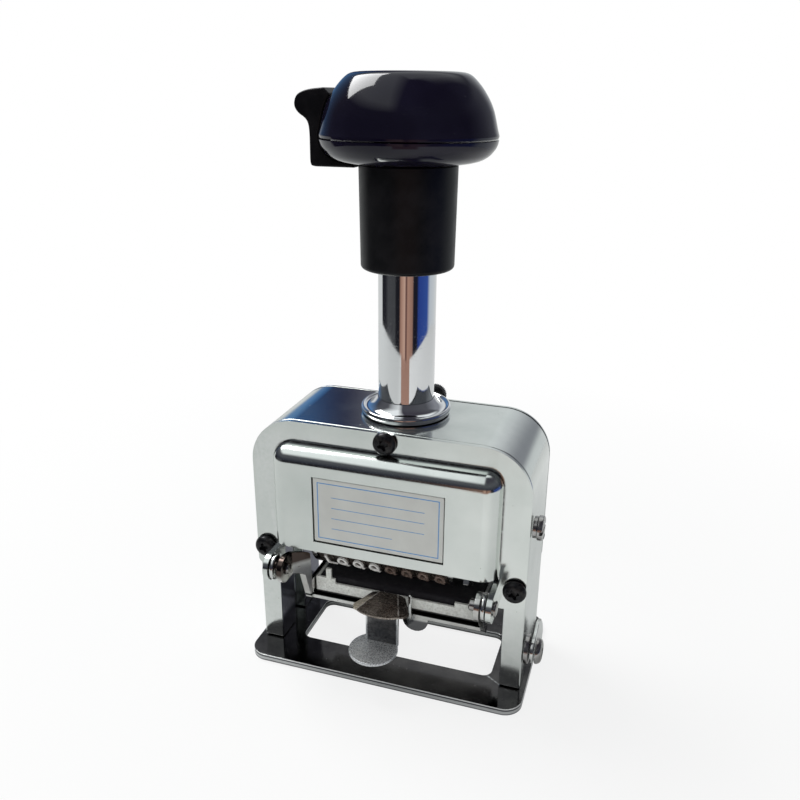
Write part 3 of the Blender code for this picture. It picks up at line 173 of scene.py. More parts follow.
def plated(name, slot, **changes):
    # polished plating: cloudy smudges, hair scratches, a few pits and a soft ripple
    look = {**platingLook, **changes}

    def paint(wire, place):
        fine = noise(wire, place, 0.9, 2.0)
        scratch = noise(wire, place, 0.35, 2.0, 0.6, look["scratchWay"]).between(0.62, 0.72)
        pit = cells(wire, place, look["pitMm"]) < look["pitShare"]
        mottle = noise(wire, place, look["smudgeMm"], 4.0, 0.6).between(0.35, 0.7)
        normal = wire.node("NewGeometry", out="Normal")
        metallic = 1.0
        colour = mottle.mix(look["colour"], look["smudge"])
        colour = (pit * fine.between(0.45, 0.6)).mix(colour, look["pit"])
        edge = wire.node("NewGeometry", out="Pointiness").between(0.56, 0.68) * fine.between(0.3, 0.6)
        colour = (edge * 0.7).mix(colour, look["edge"])
        if "rim" in look:  # a painted highlight on the rounded edge and painted reflection bands on the side
            lean = abs(normal.part(2))
            colour = lean.between(0.985, 0.93).mix(colour, look["rim"])
            height = place.fromAxis(2).between(0, look["sideTop"])
            side = wire.node("ValToRGB", {"stops": look["side"]}, {0: height})
            colour = lean.between(0.30, 0.12).mix(colour, side)
            metallic = 1 - lean.between(0.985, 0.93) * lean.between(0.12, 0.30) * 0.6
        if "inner" in look:  # painted shade and dark reflection on faces that look at the dark between the legs
            x = place.fromAxis(0)
            within = (abs(x) < look["inner"]) * (normal.part(0) * x < -18)
            colour = (within * fine.between(0.2, 0.45, 0.75, 1.0)).mix(colour, look["innerColour"])
        if "behind" in look:
            # painted shade on faces that look forward into the case
            colour = (normal.part(1) < -0.5).mix(colour, look["behind"])
        if "below" in look:  # the carrier: painted shade under its rail and along its shelf, and a painted dark reflection on its left ear
            z = place.fromAxis(2)
            colour = z.between(look["below"] + 0.3, look["below"] - 0.3).mix(colour, look["belowColour"])
            ear = z.between(look["upper"] - 0.6, look["upper"] + 0.6) * (place.fromAxis(0) < 0)
            shelf = abs(z - look["shelf"]).between(0.45, 0.25)
            colour = ear.mix(shelf.mix(colour, look["shelfColour"]), look["upperColour"])
        if "ends" in look:
            # painted highlights along the two side edges
            middle, half = look["ends"]
            rim = abs(place.fromAxis(0) - middle).between(half - 0.6, half - 0.35)
            colour = rim.mix(colour, look["endColour"])
        if "seam" in look:  # painted shade in the corner round the raised panel
            halfX, halfZ, middleZ, corner, behindY = look["seam"]
            x = wire.math("MAXIMUM", abs(place.fromAxis(0)) - (halfX - corner), 0)
            z = wire.math("MAXIMUM", abs(place.fromAxis(2) - middleZ) - (halfZ - corner), 0)
            away = wire.math("SQRT", x * x + z * z) - corner
            soot = away.between(0.55, 0.0) * (place.fromAxis(1) > behindY)
            colour = (soot * fine.between(0.2, 0.5)).mix(colour, look["soot"])
        rough = mottle * look["smudgeRough"] + scratch * look["scratchRough"] + pit * 0.25 + look["roughness"]
        ripple = noise(wire, place, look["rippleMm"], 1.0)
        height = ripple * look["ripple"] - pit * 0.3 + scratch * -0.04 + fine * 0.02
        return {"Base Color": colour, "Metallic": metallic, "Roughness": rough,
                "Normal": bumped(wire, height, 0.05, look["bump"])}
    return surface(name, slot, paint)


platingLook = {"colour": (0.79, 0.82, 0.79), "smudge": (0.70, 0.74, 0.71), "pit": (0.20, 0.17, 0.14),
               "roughness": 0.12, "smudgeMm": 14, "smudgeRough": 0.06, "scratchWay": (1.0, 1.0, 0.06),
               "scratchRough": 0.05, "pitMm": 3.2, "pitShare": 0.045, "rippleMm": 22, "ripple": 1.0,
               "bump": 0.5, "edge": (0.86, 0.87, 0.86)}
# the front cover gets painted shade in the corner round its raised panel
coverPlate = plated("coverPlate", "chrome", seam=(30.5, 14.3, 51.8, 4.3, -17.35), soot=(0.16, 0.15, 0.15))
# the legs get painted shade and dark reflection on their inward faces
legPlate = plated("legPlate", "chrome", inner=35.0, innerColour=(0.17, 0.17, 0.215))
# the back cover gets painted shade on its faces that look into the case
backPlate = plated("backPlate", "chrome", behind=(0.10, 0.10, 0.11))
neckChrome = plated("neckChrome", "chrome", colour=(0.84, 0.85, 0.86), smudge=(0.80, 0.81, 0.82),
                    pitShare=0.02, scratchWay=(0.06, 0.06, 1.0), roughness=0.035, bump=0.25)
# the pad carrier gets painted shade under its rail and along its shelf, and a painted dark reflection on its
# left ear
railChrome = plated("railChrome", "chrome", colour=(0.66, 0.665, 0.645), smudge=(0.46, 0.45, 0.43),
                    smudgeMm=5, pitMm=1.4, pitShare=0.12, roughness=0.11, bump=0.6,
                    below=17.3, belowColour=(0.15, 0.15, 0.155), upper=31.2,
                    upperColour=(0.085, 0.066, 0.058), shelf=19.75, shelfColour=(0.03, 0.03, 0.03))
# the base plate gets a painted highlight on its rounded edge and painted reflection bands on its side
darkPlate = plated("darkPlate", "dark_chrome", colour=(0.095, 0.091, 0.094), smudge=(0.19, 0.183, 0.178),
                   smudgeMm=7, scratchWay=(0.08, 1.0, 1.0), pitMm=1.8, pitShare=0.09, pit=(0.03, 0.03, 0.03),
                   roughness=0.07, smudgeRough=0.09, rim=(0.78, 0.79, 0.78), sideTop=2.3,
                   side=[(0.0, (0.22, 0.22, 0.23)), (0.16, (0.34, 0.34, 0.35)), (0.22, (0.66, 0.67, 0.67)),
                         (0.50, (0.60, 0.61, 0.61)), (0.56, (0.10, 0.10, 0.11)), (0.70, (0.10, 0.10, 0.11)),
                         (0.76, (0.92, 0.93, 0.92)), (1.0, (0.95, 0.95, 0.94))])
# the grip's web gets painted highlights along its side edges
webChrome = plated("webChrome", "dark_chrome", colour=(0.085, 0.08, 0.08), smudge=(0.035, 0.035, 0.04),
                   smudgeMm=4, ends=(0.3, 4.6), endColour=(0.72, 0.73, 0.73),
                   scratchWay=(1.0, 1.0, 0.05), pitMm=1.0, pitShare=0.10)
innerSteel = plated("innerSteel", "steel", colour=(0.42, 0.42, 0.42), smudge=(0.24, 0.22, 0.20), smudgeMm=4,
                    pitMm=1.1, pitShare=0.14, roughness=0.24)
turnedSteel = plated("turnedSteel", "steel", colour=(0.46, 0.455, 0.45), smudge=(0.24, 0.22, 0.20),
                     smudgeMm=2.5, scratchWay=(1.0, 0.1, 0.1), pitMm=0.9, pitShare=0.10, roughness=0.16)
pinChrome = plated("pinChrome", "steel", colour=(0.76, 0.77, 0.76), smudge=(0.55, 0.55, 0.53), smudgeMm=2.5,
                   pitMm=1.1, pitShare=0.08, roughness=0.08)
wornBrass = plated("wornBrass", "brass", colour=(0.62, 0.44, 0.19), smudge=(0.35, 0.22, 0.10), smudgeMm=3,
                   pitMm=1.0, pitShare=0.12, roughness=0.26)


def oxidePaint(wire, place):
    grain = noise(wire, place, 0.25)
    cloud = noise(wire, place, 1.6).between(0.45, 0.75)
    colour = cloud.mix((0.010, 0.010, 0.012), (0.045, 0.042, 0.040))
    return {"Base Color": colour, "Metallic": 0.55, "Roughness": cloud * 0.2 + grain * 0.12 + 0.22,
            "Normal": bumped(wire, grain, 0.03, 0.5)}


def galvanisedPaint(wire, place):
    # granular zinc with dark specks and stains, and shade below the felt's step
    grain = noise(wire, place, 0.22, 4.0, 0.7)
    flake = cells(wire, place, 0.7)
    stain = noise(wire, place, 3.0, 4.0, 0.7).between(0.52, 0.75)
    speck = (cells(wire, place, 0.55) < 0.16) * noise(wire, place, 2.2, 2.0).between(0.50, 0.58)
    colour = (flake * 0.6 + grain * 0.5).between(0.2, 0.8).mix((0.60, 0.61, 0.57), (0.86, 0.87, 0.83))
    colour = (stain * 0.55).mix(colour, (0.42, 0.41, 0.37))
    colour = speck.mix(colour, (0.07, 0.07, 0.06))
    colour = place.fromAxis(2).between(20.5, 20.3).mix(colour, (0.03, 0.03, 0.03))
    return {"Base Color": colour, "Metallic": 0.35, "Roughness": grain * 0.25 + 0.38,
            "Normal": bumped(wire, grain + flake * 0.6, 0.06, 0.7)}


def knobPaint(wire, place):
    # moulded black plastic with a faint blue sheen, dust and fine wipe marks
    dust = (cells(wire, place, 1.9) < 0.035) * noise(wire, place, 6.0, 1.0).between(0.5, 0.6)
    wipe = noise(wire, place, 0.5, 3.0, 0.6, (0.08, 1.0, 1.0)).between(0.55, 0.8)
    cloud = noise(wire, place, 12.0, 2.0).between(0.4, 0.7)
    colour = cloud.mix((0.004, 0.003, 0.010), (0.007, 0.006, 0.016))
    return {"Base Color": dust.mix(colour, (0.10, 0.10, 0.11)), "Specular IOR Level": 0.34,
            "Roughness": wipe * 0.05 + cloud * 0.03 + dust * 0.3 + 0.07, "Coat Weight": 0.05,
            "Coat Roughness": 0.04, "Normal": bumped(wire, wipe * 0.3 + cloud, 0.02, 0.3)}


def sleevePaint(wire, place):
    grain = noise(wire, place, 0.18)
    cloud = noise(wire, place, 5.0).between(0.4, 0.7)
    return {"Base Color": cloud.mix((0.004, 0.004, 0.005), (0.008, 0.0075, 0.009)),
            "Roughness": grain * 0.12 + cloud * 0.08 + 0.27, "Specular IOR Level": 0.16,
            "Normal": bumped(wire, grain, 0.03, 0.35)}


def feltPaint(wire, place):
    # ink-soaked felt: matted fibres with wet spots
    fibre = noise(wire, place, 0.16, 5.0, 0.75)
    matted = noise(wire, place, 0.9, 4.0, 0.7, (1.0, 0.25, 1.0))
    wet = noise(wire, place, 4.0, 2.0).between(0.5, 0.7)
    return {"Base Color": fibre.mix((0.003, 0.003, 0.005), (0.015, 0.013, 0.016)),
            "Roughness": wet * -0.3 + fibre * 0.15 + 0.78, "Sheen Weight": 0.05,
            "Normal": bumped(wire, fibre + matted * 0.6, 0.12, 0.8)}


def typePaint(clean, inked, metallic):
    # type metal: raised faces rub clean, ink stays in the low places
    def paint(wire, place):
        blot = noise(wire, place, 1.3, 4.0, 0.7).between(0.42, 0.62)
        grain = noise(wire, place, 0.2)
        return {"Base Color": blot.mix(clean, inked), "Metallic": metallic,
                "Roughness": blot * 0.25 + grain * 0.15 + 0.14, "Normal": bumped(wire, grain, 0.04, 0.5)}
    return paint


blackOxide = surface("blackOxide", "black_oxide", oxidePaint)
zincTray = surface("zincTray", "galvanised", galvanisedPaint)
knobGloss = surface("knobGloss", "gloss_black", knobPaint)
sleeveSatin = surface("sleeveSatin", "satin_black", sleevePaint)
inkFelt = surface("inkFelt", "ink_felt", feltPaint)
wheelMetal = surface("wheelMetal", "type_metal", typePaint((0.16, 0.13, 0.11), (0.035, 0.028, 0.025), 0.9))
digitBright = surface("digitBright", "type_metal", typePaint((0.98, 0.97, 0.95), (0.88, 0.86, 0.82), 0.0))
digitInked = surface("digitInked", "type_metal", typePaint((0.50, 0.39, 0.33), (0.17, 0.11, 0.09), 0.55))
print("materials done")


def linked(name, data):
    made = bpy.data.objects.new(name, data)
    bpy.context.scene.collection.objects.link(made)
    return made


def finished(name, shape, look, body, stands=(), edge=0.0, segments=2, sharp=35, weighted=True):
    mesh = bpy.data.meshes.new(name)
    shape.to_mesh(mesh)
    shape.free()
    mesh.transform(shift)
    mesh.shade_smooth()
    mesh.set_sharp_from_angle(angle=math.radians(sharp))
    mesh.materials.append(look)
    made = linked(name, mesh)
    if edge:
        soften = made.modifiers.new("edges", "BEVEL")
        soften.width = edge * mm
        soften.segments = segments
        soften.limit_method = "ANGLE"
        soften.angle_limit = math.radians(sharp)
        soften.harden_normals = True
    if weighted:
        even = made.modifiers.new("normals", "WEIGHTED_NORMAL")
        even.keep_sharp = not edge
    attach(made, body)
    if stands:
        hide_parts(*stands)
    return made


def asMesh(drawn):
    # the mesh that an object shows; the object itself goes
    bpy.context.view_layer.update()
    mesh = bpy.data.meshes.new_from_object(drawn.evaluated_get(bpy.context.evaluated_depsgraph_get()))
    bpy.data.objects.remove(drawn, do_unlink=True)
    return mesh


weldMm = 0.0005  # points closer than this become one
flatDegrees = 0.5  # faces that meet flatter than this become one
beyond = 1.0  # mm that a cutting shape reaches past what it cuts


def cleaned(shape, weld=weldMm):
    bmesh.ops.remove_doubles(shape, verts=shape.verts, dist=weld)
    bmesh.ops.dissolve_limit(shape, angle_limit=math.radians(flatDegrees), verts=shape.verts,
                             edges=shape.edges)
    return shape


def stood(shape, turn):
    if turn is not None:
        bmesh.ops.transform(shape, matrix=turn, verts=shape.verts)
    return shape


def outlined(outlines, thickness, turn=None):
    # flat outlines with holes, given thickness to both sides
    curve = bpy.data.curves.new("outline", "CURVE")
    curve.dimensions = "2D"
    curve.fill_mode = "BOTH"
    curve.extrude = thickness / 2
    curve.resolution_u = 1
    for outline in outlines:
        spline = curve.splines.new("POLY")
        spline.points.add(len(outline) - 1)
        for point, (x, y) in zip(spline.points, outline):
            point.co = (x, y, 0, 1)
        spline.use_cyclic_u = True
    shape = bmesh.new()
    shape.from_mesh(asMesh(linked("outline", curve)))
    return stood(cleaned(shape), turn)


def turned(profile, turn=None, steps=96, ring=False):
    # a profile of (radius, height) spun about its own Z
    shape = bmesh.new()
    verts = [shape.verts.new((radius, 0, height)) for radius, height in profile]
    edges = [shape.edges.new(pair) for pair in zip(verts, verts[1:])]
    if ring:
        edges.append(shape.edges.new((verts[-1], verts[0])))
    bmesh.ops.spin(shape, geom=verts + edges, cent=(0, 0, 0), axis=(0, 0, 1), angle=math.tau,
                   steps=steps, use_merge=True)
    bmesh.ops.remove_doubles(shape, verts=shape.verts, dist=weldMm)
    bmesh.ops.recalc_face_normals(shape, faces=shape.faces)
    return stood(shape, turn)


def scaledTo(radius, height, shares):
    return [(radius * across, height * up) for across, up in shares]


def block(x, y, z, rounding=0.0, segments=3, keep=None):
    shape = bmesh.new()
    bmesh.ops.create_cube(shape, size=1)
    bmesh.ops.scale(shape, vec=(x[1] - x[0], y[1] - y[0], z[1] - z[0]), verts=shape.verts)
    if rounding:
        edges = [edge for edge in shape.edges if keep is None or keep(edge)]
        bmesh.ops.bevel(shape, geom=edges, offset=rounding, segments=segments, affect="EDGES", profile=0.5,
                        clamp_overlap=True)
    bmesh.ops.translate(shape, vec=[(a + b) / 2 for a, b in (x, y, z)], verts=shape.verts)
    return shape


def combined(shape, others, operation="UNION"):
    # each shape is used up
    def asObject(one):
        mesh = bpy.data.meshes.new("part")
        one.to_mesh(mesh)
        one.free()
        return linked("part", mesh)
    base = asObject(shape)
    tools = [asObject(one) for one in others]
    for tool in tools:
        change = base.modifiers.new("join", "BOOLEAN")
        change.operation = operation
        change.object = tool
        change.solver = "EXACT"
    result = bmesh.new()
    result.from_mesh(asMesh(base))
    for tool in tools:
        bpy.data.objects.remove(tool, do_unlink=True)
    bmesh.ops.dissolve_limit(result, angle_limit=math.radians(0.3), verts=result.verts, edges=result.edges)
    return result


def slab(columns, rows, levels, spot):
    # levels of a grid closed into one form; spot gives each point, and inner levels have only their rim
    shape = bmesh.new()
    grid = {}
    for level in range(levels):
        for i in range(columns + 1):
            for j in range(rows + 1):
                if level in (0, levels - 1) or i in (0, columns) or j in (0, rows):
                    grid[level, i, j] = shape.verts.new(spot(level, i, j))

    def face(*corners):
        shape.faces.new([grid[corner] for corner in corners])

    for i in range(columns):
        for j in range(rows):
            for level in (0, levels - 1):
                face((level, i, j), (level, i + 1, j), (level, i + 1, j + 1), (level, i, j + 1))
    for level in range(levels - 1):
        for i in range(columns):
            for j in (0, rows):
                face((level, i, j), (level, i + 1, j), (level + 1, i + 1, j), (level + 1, i, j))
        for j in range(rows):
            for i in (0, columns):
                face((level, i, j), (level, i, j + 1), (level + 1, i, j + 1), (level + 1, i, j))
    bmesh.ops.recalc_face_normals(shape, faces=shape.faces)
    return shape


def rounded(corners, steps=16):
    # an outline through corners of (x, y, radius)
    points = []
    for i, (x, y, radius) in enumerate(corners):
        here = Vector((x, y))
        if not radius:
            points.append(here)
            continue
        back = (Vector(corners[i - 1][:2]) - here).normalized()
        ahead = (Vector(corners[(i + 1) % len(corners)][:2]) - here).normalized()
        half = back.angle(ahead) / 2
        centre = here + (back + ahead).normalized() * (radius / math.sin(half))
        start = here + back * (radius / math.tan(half)) - centre
        stop = here + ahead * (radius / math.tan(half)) - centre
        first = math.atan2(start.y, start.x)
        turn = (math.atan2(stop.y, stop.x) - first + math.pi) % math.tau - math.pi
        for k in range(steps + 1):
            angle = first + turn * k / steps
            points.append(centre + Vector((math.cos(angle), math.sin(angle))) * radius)
    return points


def plateOutline(halfWide, halfHigh, corner, x=0.0, y=0.0, steps=16):
    return rounded([(x - halfWide, y - halfHigh, corner), (x + halfWide, y - halfHigh, corner),
                    (x + halfWide, y + halfHigh, corner), (x - halfWide, y + halfHigh, corner)], steps)


def ringOf(radius, x=0.0, y=0.0, steps=32):
    angles = [math.tau * k / steps for k in range(steps)]
    return [Vector((x + radius * math.cos(angle), y + radius * math.sin(angle))) for angle in angles]


def moved(x, y, z):
    return Matrix.Translation((x, y, z))


facingFront = Matrix.Rotation(math.pi / 2, 4, "X")  # drawn x, y stand as X, Z; the front looks to -Y
facingBack = Matrix.Rotation(-math.pi / 2, 4, "X")
facingRight = Matrix.Rotation(math.pi / 2, 4, "Z") @ facingFront  # drawn x, y stand as Y, Z
turnedRight = Matrix.Rotation(math.pi / 2, 4, "Y")  # a turned piece's own Z points to X
turnedLeft = Matrix.Rotation(-math.pi / 2, 4, "Y")


def refined(node, look, body, edge=0.15, segments=2, sharp=30):
    # the CAD node's own shape with cleaned faces and softened edges
    shape = bmesh.new()
    shape.from_mesh(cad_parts[node].data)
    cleaned(stood(shape, shift.inverted()), 2 * weldMm)
    finished(node + "_finish", shape, look, body, (node,), edge=edge, segments=segments, sharp=sharp)


# base plate
baseLook = {"edge": 0.65, "corner": 5.0, "window": (55.8, 19.5), "windowAt": (1.0, -3.25),
            "windowCorner": 2.5}
low, high, middle = inMm("base_plate")
half = (high - low) / 2
wide, deep = baseLook["window"]
base = outlined([plateOutline(half.x, half.y, baseLook["corner"], middle.x, middle.y),
                 plateOutline(wide / 2, deep / 2, baseLook["windowCorner"], *baseLook["windowAt"])],
                high.z - low.z, moved(0, 0, middle.z))
finished("basePlate", base, darkPlate, "frame", ("base_plate",), edge=baseLook["edge"], segments=3)

# arch and legs
archLook = {"leg": 5.7, "roof": 2.2, "corner": 12.5, "innerCorner": 6.0, "arcSteps": 28, "edge": 0.35,
            "grooveWide": 6.8, "grooveDeep": 3.2, "grooveY": -3.75, "grooveTop": 63.6,
            "neckPlay": 0.3, "neckHole": 4}
low, high, middle = inMm("side_frame")
inside, ceiling = high.x - archLook["leg"], high.z - archLook["roof"]
archOutline = rounded([(low.x, low.z, 0), (-inside, low.z, 0), (-inside, ceiling, archLook["innerCorner"]),
                       (inside, ceiling, archLook["innerCorner"]), (inside, low.z, 0), (high.x, low.z, 0),
                       (high.x, high.z, archLook["corner"]), (low.x, high.z, archLook["corner"])],
                      archLook["arcSteps"])
arch = outlined([archOutline], high.y - low.y, moved(0, middle.y, 0) @ facingFront)
neckRadius = (neckHigh.x - neckLow.x) / 2 / mm
holeR, holeFoot = neckRadius + archLook["neckPlay"], high.z - archLook["neckHole"]
cuts = [turned([(0, high.z + beyond), (holeR, high.z + beyond), (holeR, holeFoot), (0, holeFoot)], steps=64)]
grooveHalf = archLook["grooveWide"] / 2
for sign in (-1, 1):
    cuts.append(block(sorted((sign * (inside - beyond), sign * (inside + archLook["grooveDeep"]))),
                      (archLook["grooveY"] - grooveHalf, archLook["grooveY"] + grooveHalf),
                      (0, archLook["grooveTop"])))
arch = combined(arch, cuts, "DIFFERENCE")
finished("archAndLegs", arch, legPlate, "frame", ("side_frame",), edge=archLook["edge"], segments=3)
print("base and arch done")

# front cover with the raised panel
coverLook = {"sheet": 1.0, "sheetFront": -17.0, "tabZ": 27.5, "tabCorner": 1.6, "tabFillet": 0.4,
             "footFillet": 0.8, "panelHalf": 30.5, "panelZ": (37.5, 66.1), "proud": 5.0, "round": 4.3,
             "sideWall": 4.8, "frontWall": 1.8, "pocket": 1.1, "label": (35.4, 18.9),
             "labelAt": (-0.6, 49.9), "pivot": (-24.0, 32.0), "ear": 3.7, "pinHole": 1.8,
             "lugInside": 29.4, "lug": 1.4, "edge": 0.22, "backFoot": 30.0}
low, high, middle = inMm("front_cover")
caseHalf, caseTop, corner = high.x, high.z, archLook["corner"]
tabZ, tabCorner, tabFillet = coverLook["tabZ"], coverLook["tabCorner"], coverLook["tabFillet"]
panelHalf, panelFront = coverLook["panelHalf"], coverLook["sheetFront"] - coverLook["proud"]
panelFoot, panelTop = coverLook["panelZ"]
sheetMiddle = coverLook["sheetFront"] + coverLook["sheet"] / 2
coverOutline = rounded([(-caseHalf, tabZ, tabCorner), (-panelHalf, tabZ, tabFillet),
                        (-panelHalf, panelFoot, coverLook["footFillet"]),
                        (panelHalf, panelFoot, coverLook["footFillet"]), (panelHalf, tabZ, tabFillet),
                        (caseHalf, tabZ, tabCorner), (caseHalf, caseTop, corner),
                        (-caseHalf, caseTop, corner)], archLook["arcSteps"])
cover = outlined([coverOutline], coverLook["sheet"], moved(0, sheetMiddle, 0) @ facingFront)


def frontEdge(edge):
    # the panel's edges that get the big rounding: not its back, and not its foot
    return not all(v.co.y > 0 for v in edge.verts) and not all(v.co.z < 0 for v in edge.verts)


panel = block((-panelHalf, panelHalf), (panelFront, sheetMiddle), (panelFoot, panelTop),
              rounding=coverLook["round"], segments=14, keep=frontEdge)
labelWide, labelHigh = coverLook["label"]
labelX, labelZ = coverLook["labelAt"]
pivotY, pivotZ = coverLook["pivot"]
ear, lug = coverLook["ear"], coverLook["lug"]
lugOutline = [rounded([(pivotY - ear, pivotZ - ear, ear * 0.99), (sheetMiddle, pivotZ - ear, 0),
                       (sheetMiddle, pivotZ + ear, 0), (pivotY - ear, pivotZ + ear, ear * 0.99)]),
              ringOf(coverLook["pinHole"], pivotY, pivotZ)]
lugs = [outlined(lugOutline, lug, moved(sign * (coverLook["lugInside"] + lug / 2), 0, 0) @ facingRight)
        for sign in (-1, 1)]
cover = combined(cover, [panel] + lugs)
wall, labelBack = coverLook["sideWall"], panelFront + coverLook["pocket"]
hollow = block((wall - panelHalf, panelHalf - wall),
               (labelBack + coverLook["frontWall"], coverLook["sheetFront"] + 2 * beyond),
               (panelFoot - beyond, panelTop - wall))
pocket = block((labelX - labelWide / 2, labelX + labelWide / 2), (panelFront - beyond, labelBack),
               (labelZ - labelHigh / 2, labelZ + labelHigh / 2))
cover = combined(cover, [hollow, pocket], "DIFFERENCE")
finished("frontCover", cover, coverPlate, "frame", ("front_cover",), edge=coverLook["edge"], sharp=38)

# label: brushed silver plate with a plain printed frame and blank rules
labelLook = {"blue": (0.10, 0.27, 0.55), "silver": (0.62, 0.63, 0.60), "dull": (0.56, 0.565, 0.54),
             "line": 0.28, "inset": 1.5, "rulesFrom": -12.5,
             "rules": ((4.2, 12.5), (1.2, 12.5), (-1.8, 12.5), (-4.8, 4.0))}


def labelPaint(wire, place):
    x, z = place.fromAxis(0) - labelX, place.fromAxis(2) - labelZ
    grain = noise(wire, place, 0.12, 3.0, 0.6, (0.05, 1.0, 1.0))
    cloud = noise(wire, place, 9.0).between(0.35, 0.7)
    inset, line = labelLook["inset"], labelLook["line"]
    away = wire.math("MAXIMUM", abs(x) - (labelWide / 2 - inset), abs(z) - (labelHigh / 2 - inset))
    mark = abs(away) < line / 2
    for height, stop in labelLook["rules"]:
        rule = (abs(z - height) < line / 3) * (x > labelLook["rulesFrom"]) * (x < stop)
        mark = wire.math("MAXIMUM", mark, rule)
    worn = noise(wire, place, 0.3).between(0.30, 0.38)
    silver = cloud.mix(labelLook["silver"], labelLook["dull"])
    return {"Base Color": (mark * worn).mix(silver, labelLook["blue"]), "Metallic": 0.25 - mark * 0.2,
            "Roughness": grain * 0.16 + 0.34, "Normal": bumped(wire, grain + mark * 0.4, 0.02, 0.4)}


labelFace = surface("labelFace", "label_silver", labelPaint)
low, high, middle = inMm("label_plate")
half = (high - low) / 2
label = outlined([plateOutline(half.x, half.z, 0.3, middle.x, middle.z, steps=6)], high.y - low.y,
                 moved(0, middle.y, 0) @ facingFront)
finished("labelPlate", label, labelFace, "frame", ("label_plate",), edge=0.1)

# back cover and the selector's dial
low, high, middle = inMm("back_cover")
backFoot = coverLook["backFoot"]
backOutline = rounded([(low.x, tabZ, tabCorner), (-inside, tabZ, 0), (-inside, backFoot, 0),
                       (inside, backFoot, 0), (inside, tabZ, 0), (high.x, tabZ, tabCorner),
                       (high.x, high.z, corner), (low.x, high.z, corner)], archLook["arcSteps"])
back = outlined([backOutline], high.y - low.y, moved(0, middle.y, 0) @ facingFront)
finished("backCover", back, backPlate, "frame", ("back_cover",), edge=coverLook["edge"])
dialLook = {"z": 56.0, "marks": 5, "spread": 56.0, "reach": 60, "ring": (4.5, 5.6), "line": 0.09,
            "silver": (0.60, 0.60, 0.585), "ink": (0.03, 0.03, 0.035)}


def dialPaint(wire, place):
    x, z = place.fromAxis(0), place.fromAxis(2) - dialLook["z"]
    grain = noise(wire, place, 0.12, 3.0, 0.6, (0.05, 1.0, 1.0))
    away = wire.math("SQRT", x * x + z * z)
    angle = wire.math("ARCTAN2", x, z) * (180 / math.pi)
    inner, outer = dialLook["ring"]
    spoke = abs(wire.math("PINGPONG", angle, dialLook["spread"] / (dialLook["marks"] - 1) / 2)) < 1.0
    spoke = spoke * (away > inner) * (away < outer)
    mark = wire.math("MAXIMUM", spoke, abs(away - outer) < dialLook["line"])
    mark = mark * (abs(angle) < dialLook["reach"])
    return {"Base Color": mark.mix(dialLook["silver"], dialLook["ink"]), "Metallic": 0.5 - mark * 0.4,
            "Roughness": grain * 0.16 + 0.32, "Normal": bumped(wire, grain - mark * 0.6, 0.03, 0.5)}


dialFace = surface("dialFace", "label_silver", dialPaint)
refined("selector_plate", dialFace, "frame", edge=0.1)
print("covers done")

# screws with a cross recess
screwLook = {"recess": 2.9, "recessWide": 0.72, "deep": 1.1, "turn": 22.0, "cutter": 3.0, "edge": 0.06,
             "head": ((0.0, 1.0), (0.35, 0.99), (0.62, 0.95), (0.78, 0.85), (0.90, 0.68), (0.975, 0.44),
                      (1.0, 0.24), (1.0, 0.06), (0.97, 0.0), (0.0, 0.0))}


def panHead(radius, height):
    arm, wide = screwLook["recess"] / 2, screwLook["recessWide"] / 2
    cross = [Matrix.Rotation(math.pi / 2 * k, 2) @ Vector(point) for k in range(4)
             for point in ((arm, -wide), (arm, wide), (wide * 1.5, wide * 1.5))]
    turn = moved(0, 0, height - screwLook["deep"] + screwLook["cutter"] / 2)
    turn = turn @ Matrix.Rotation(math.radians(screwLook["turn"]), 4, "Z")
    head = turned(scaledTo(radius, height, screwLook["head"]), steps=48)
    return combined(head, [outlined([cross], screwLook["cutter"], turn)], "DIFFERENCE")


screws = [("cover_screw_" + place, facingFront, blackOxide) for place in ("left", "right", "top")]
screws += [("back_screw_" + place, facingBack, blackOxide)
           for place in ("left", "right", "top_left", "top_right")]
for node, facing, look in screws + [("lock_screw", turnedRight, turnedSteel)]:
    low, high, seat = inMm(node)
    side = high - low
    if facing is turnedRight:
        seat.x, radius, height = low.x, side.y / 2, side.x
    else:
        seat.y, radius, height = high.y if facing is facingFront else low.y, side.x / 2, side.y
    head = stood(panHead(radius, height), Matrix.Translation(seat) @ facing)
    finished(node + "_head", head, look, "frame", (node,), edge=screwLook["edge"], sharp=40)

# stud, boss and lock lever on the right side
studLook = {"slotDeep": 0.8, "slotHalf": 0.45,
            "stud": ((0, 0.97), (0.55, 1), (0.86, 1), (0.97, 0.93), (1, 0.82), (1, 0.45), (0.88, 0.38),
                     (0.88, 0), (0, 0)),
            "boss": ((0, 1), (0.93, 1), (0.985, 0.9), (1, 0.75), (1, 0), (0, 0))}


def sidePiece(node, shares):
    low, high, middle = inMm(node)
    return turned(scaledTo((high.y - low.y) / 2, high.x - low.x, shares),
                  moved(low.x, middle.y, middle.z) @ turnedRight, steps=64)


low, high, middle = inMm("side_stud")
slotCut = block((high.x - studLook["slotDeep"], high.x + beyond), (low.y - beyond, high.y + beyond),
                (middle.z - studLook["slotHalf"], middle.z + studLook["slotHalf"]))
stud = combined(sidePiece("side_stud", studLook["stud"]), [slotCut], "DIFFERENCE")
finished("sideStud", stud, turnedSteel, "frame", ("side_stud",), edge=0.08, sharp=40)
boss = sidePiece("lock_boss", studLook["boss"])
finished("lockBoss", boss, turnedSteel, "frame", ("lock_boss",), edge=0.05)
refined("lock_lever", pinChrome, "lock", edge=0.2, segments=3)

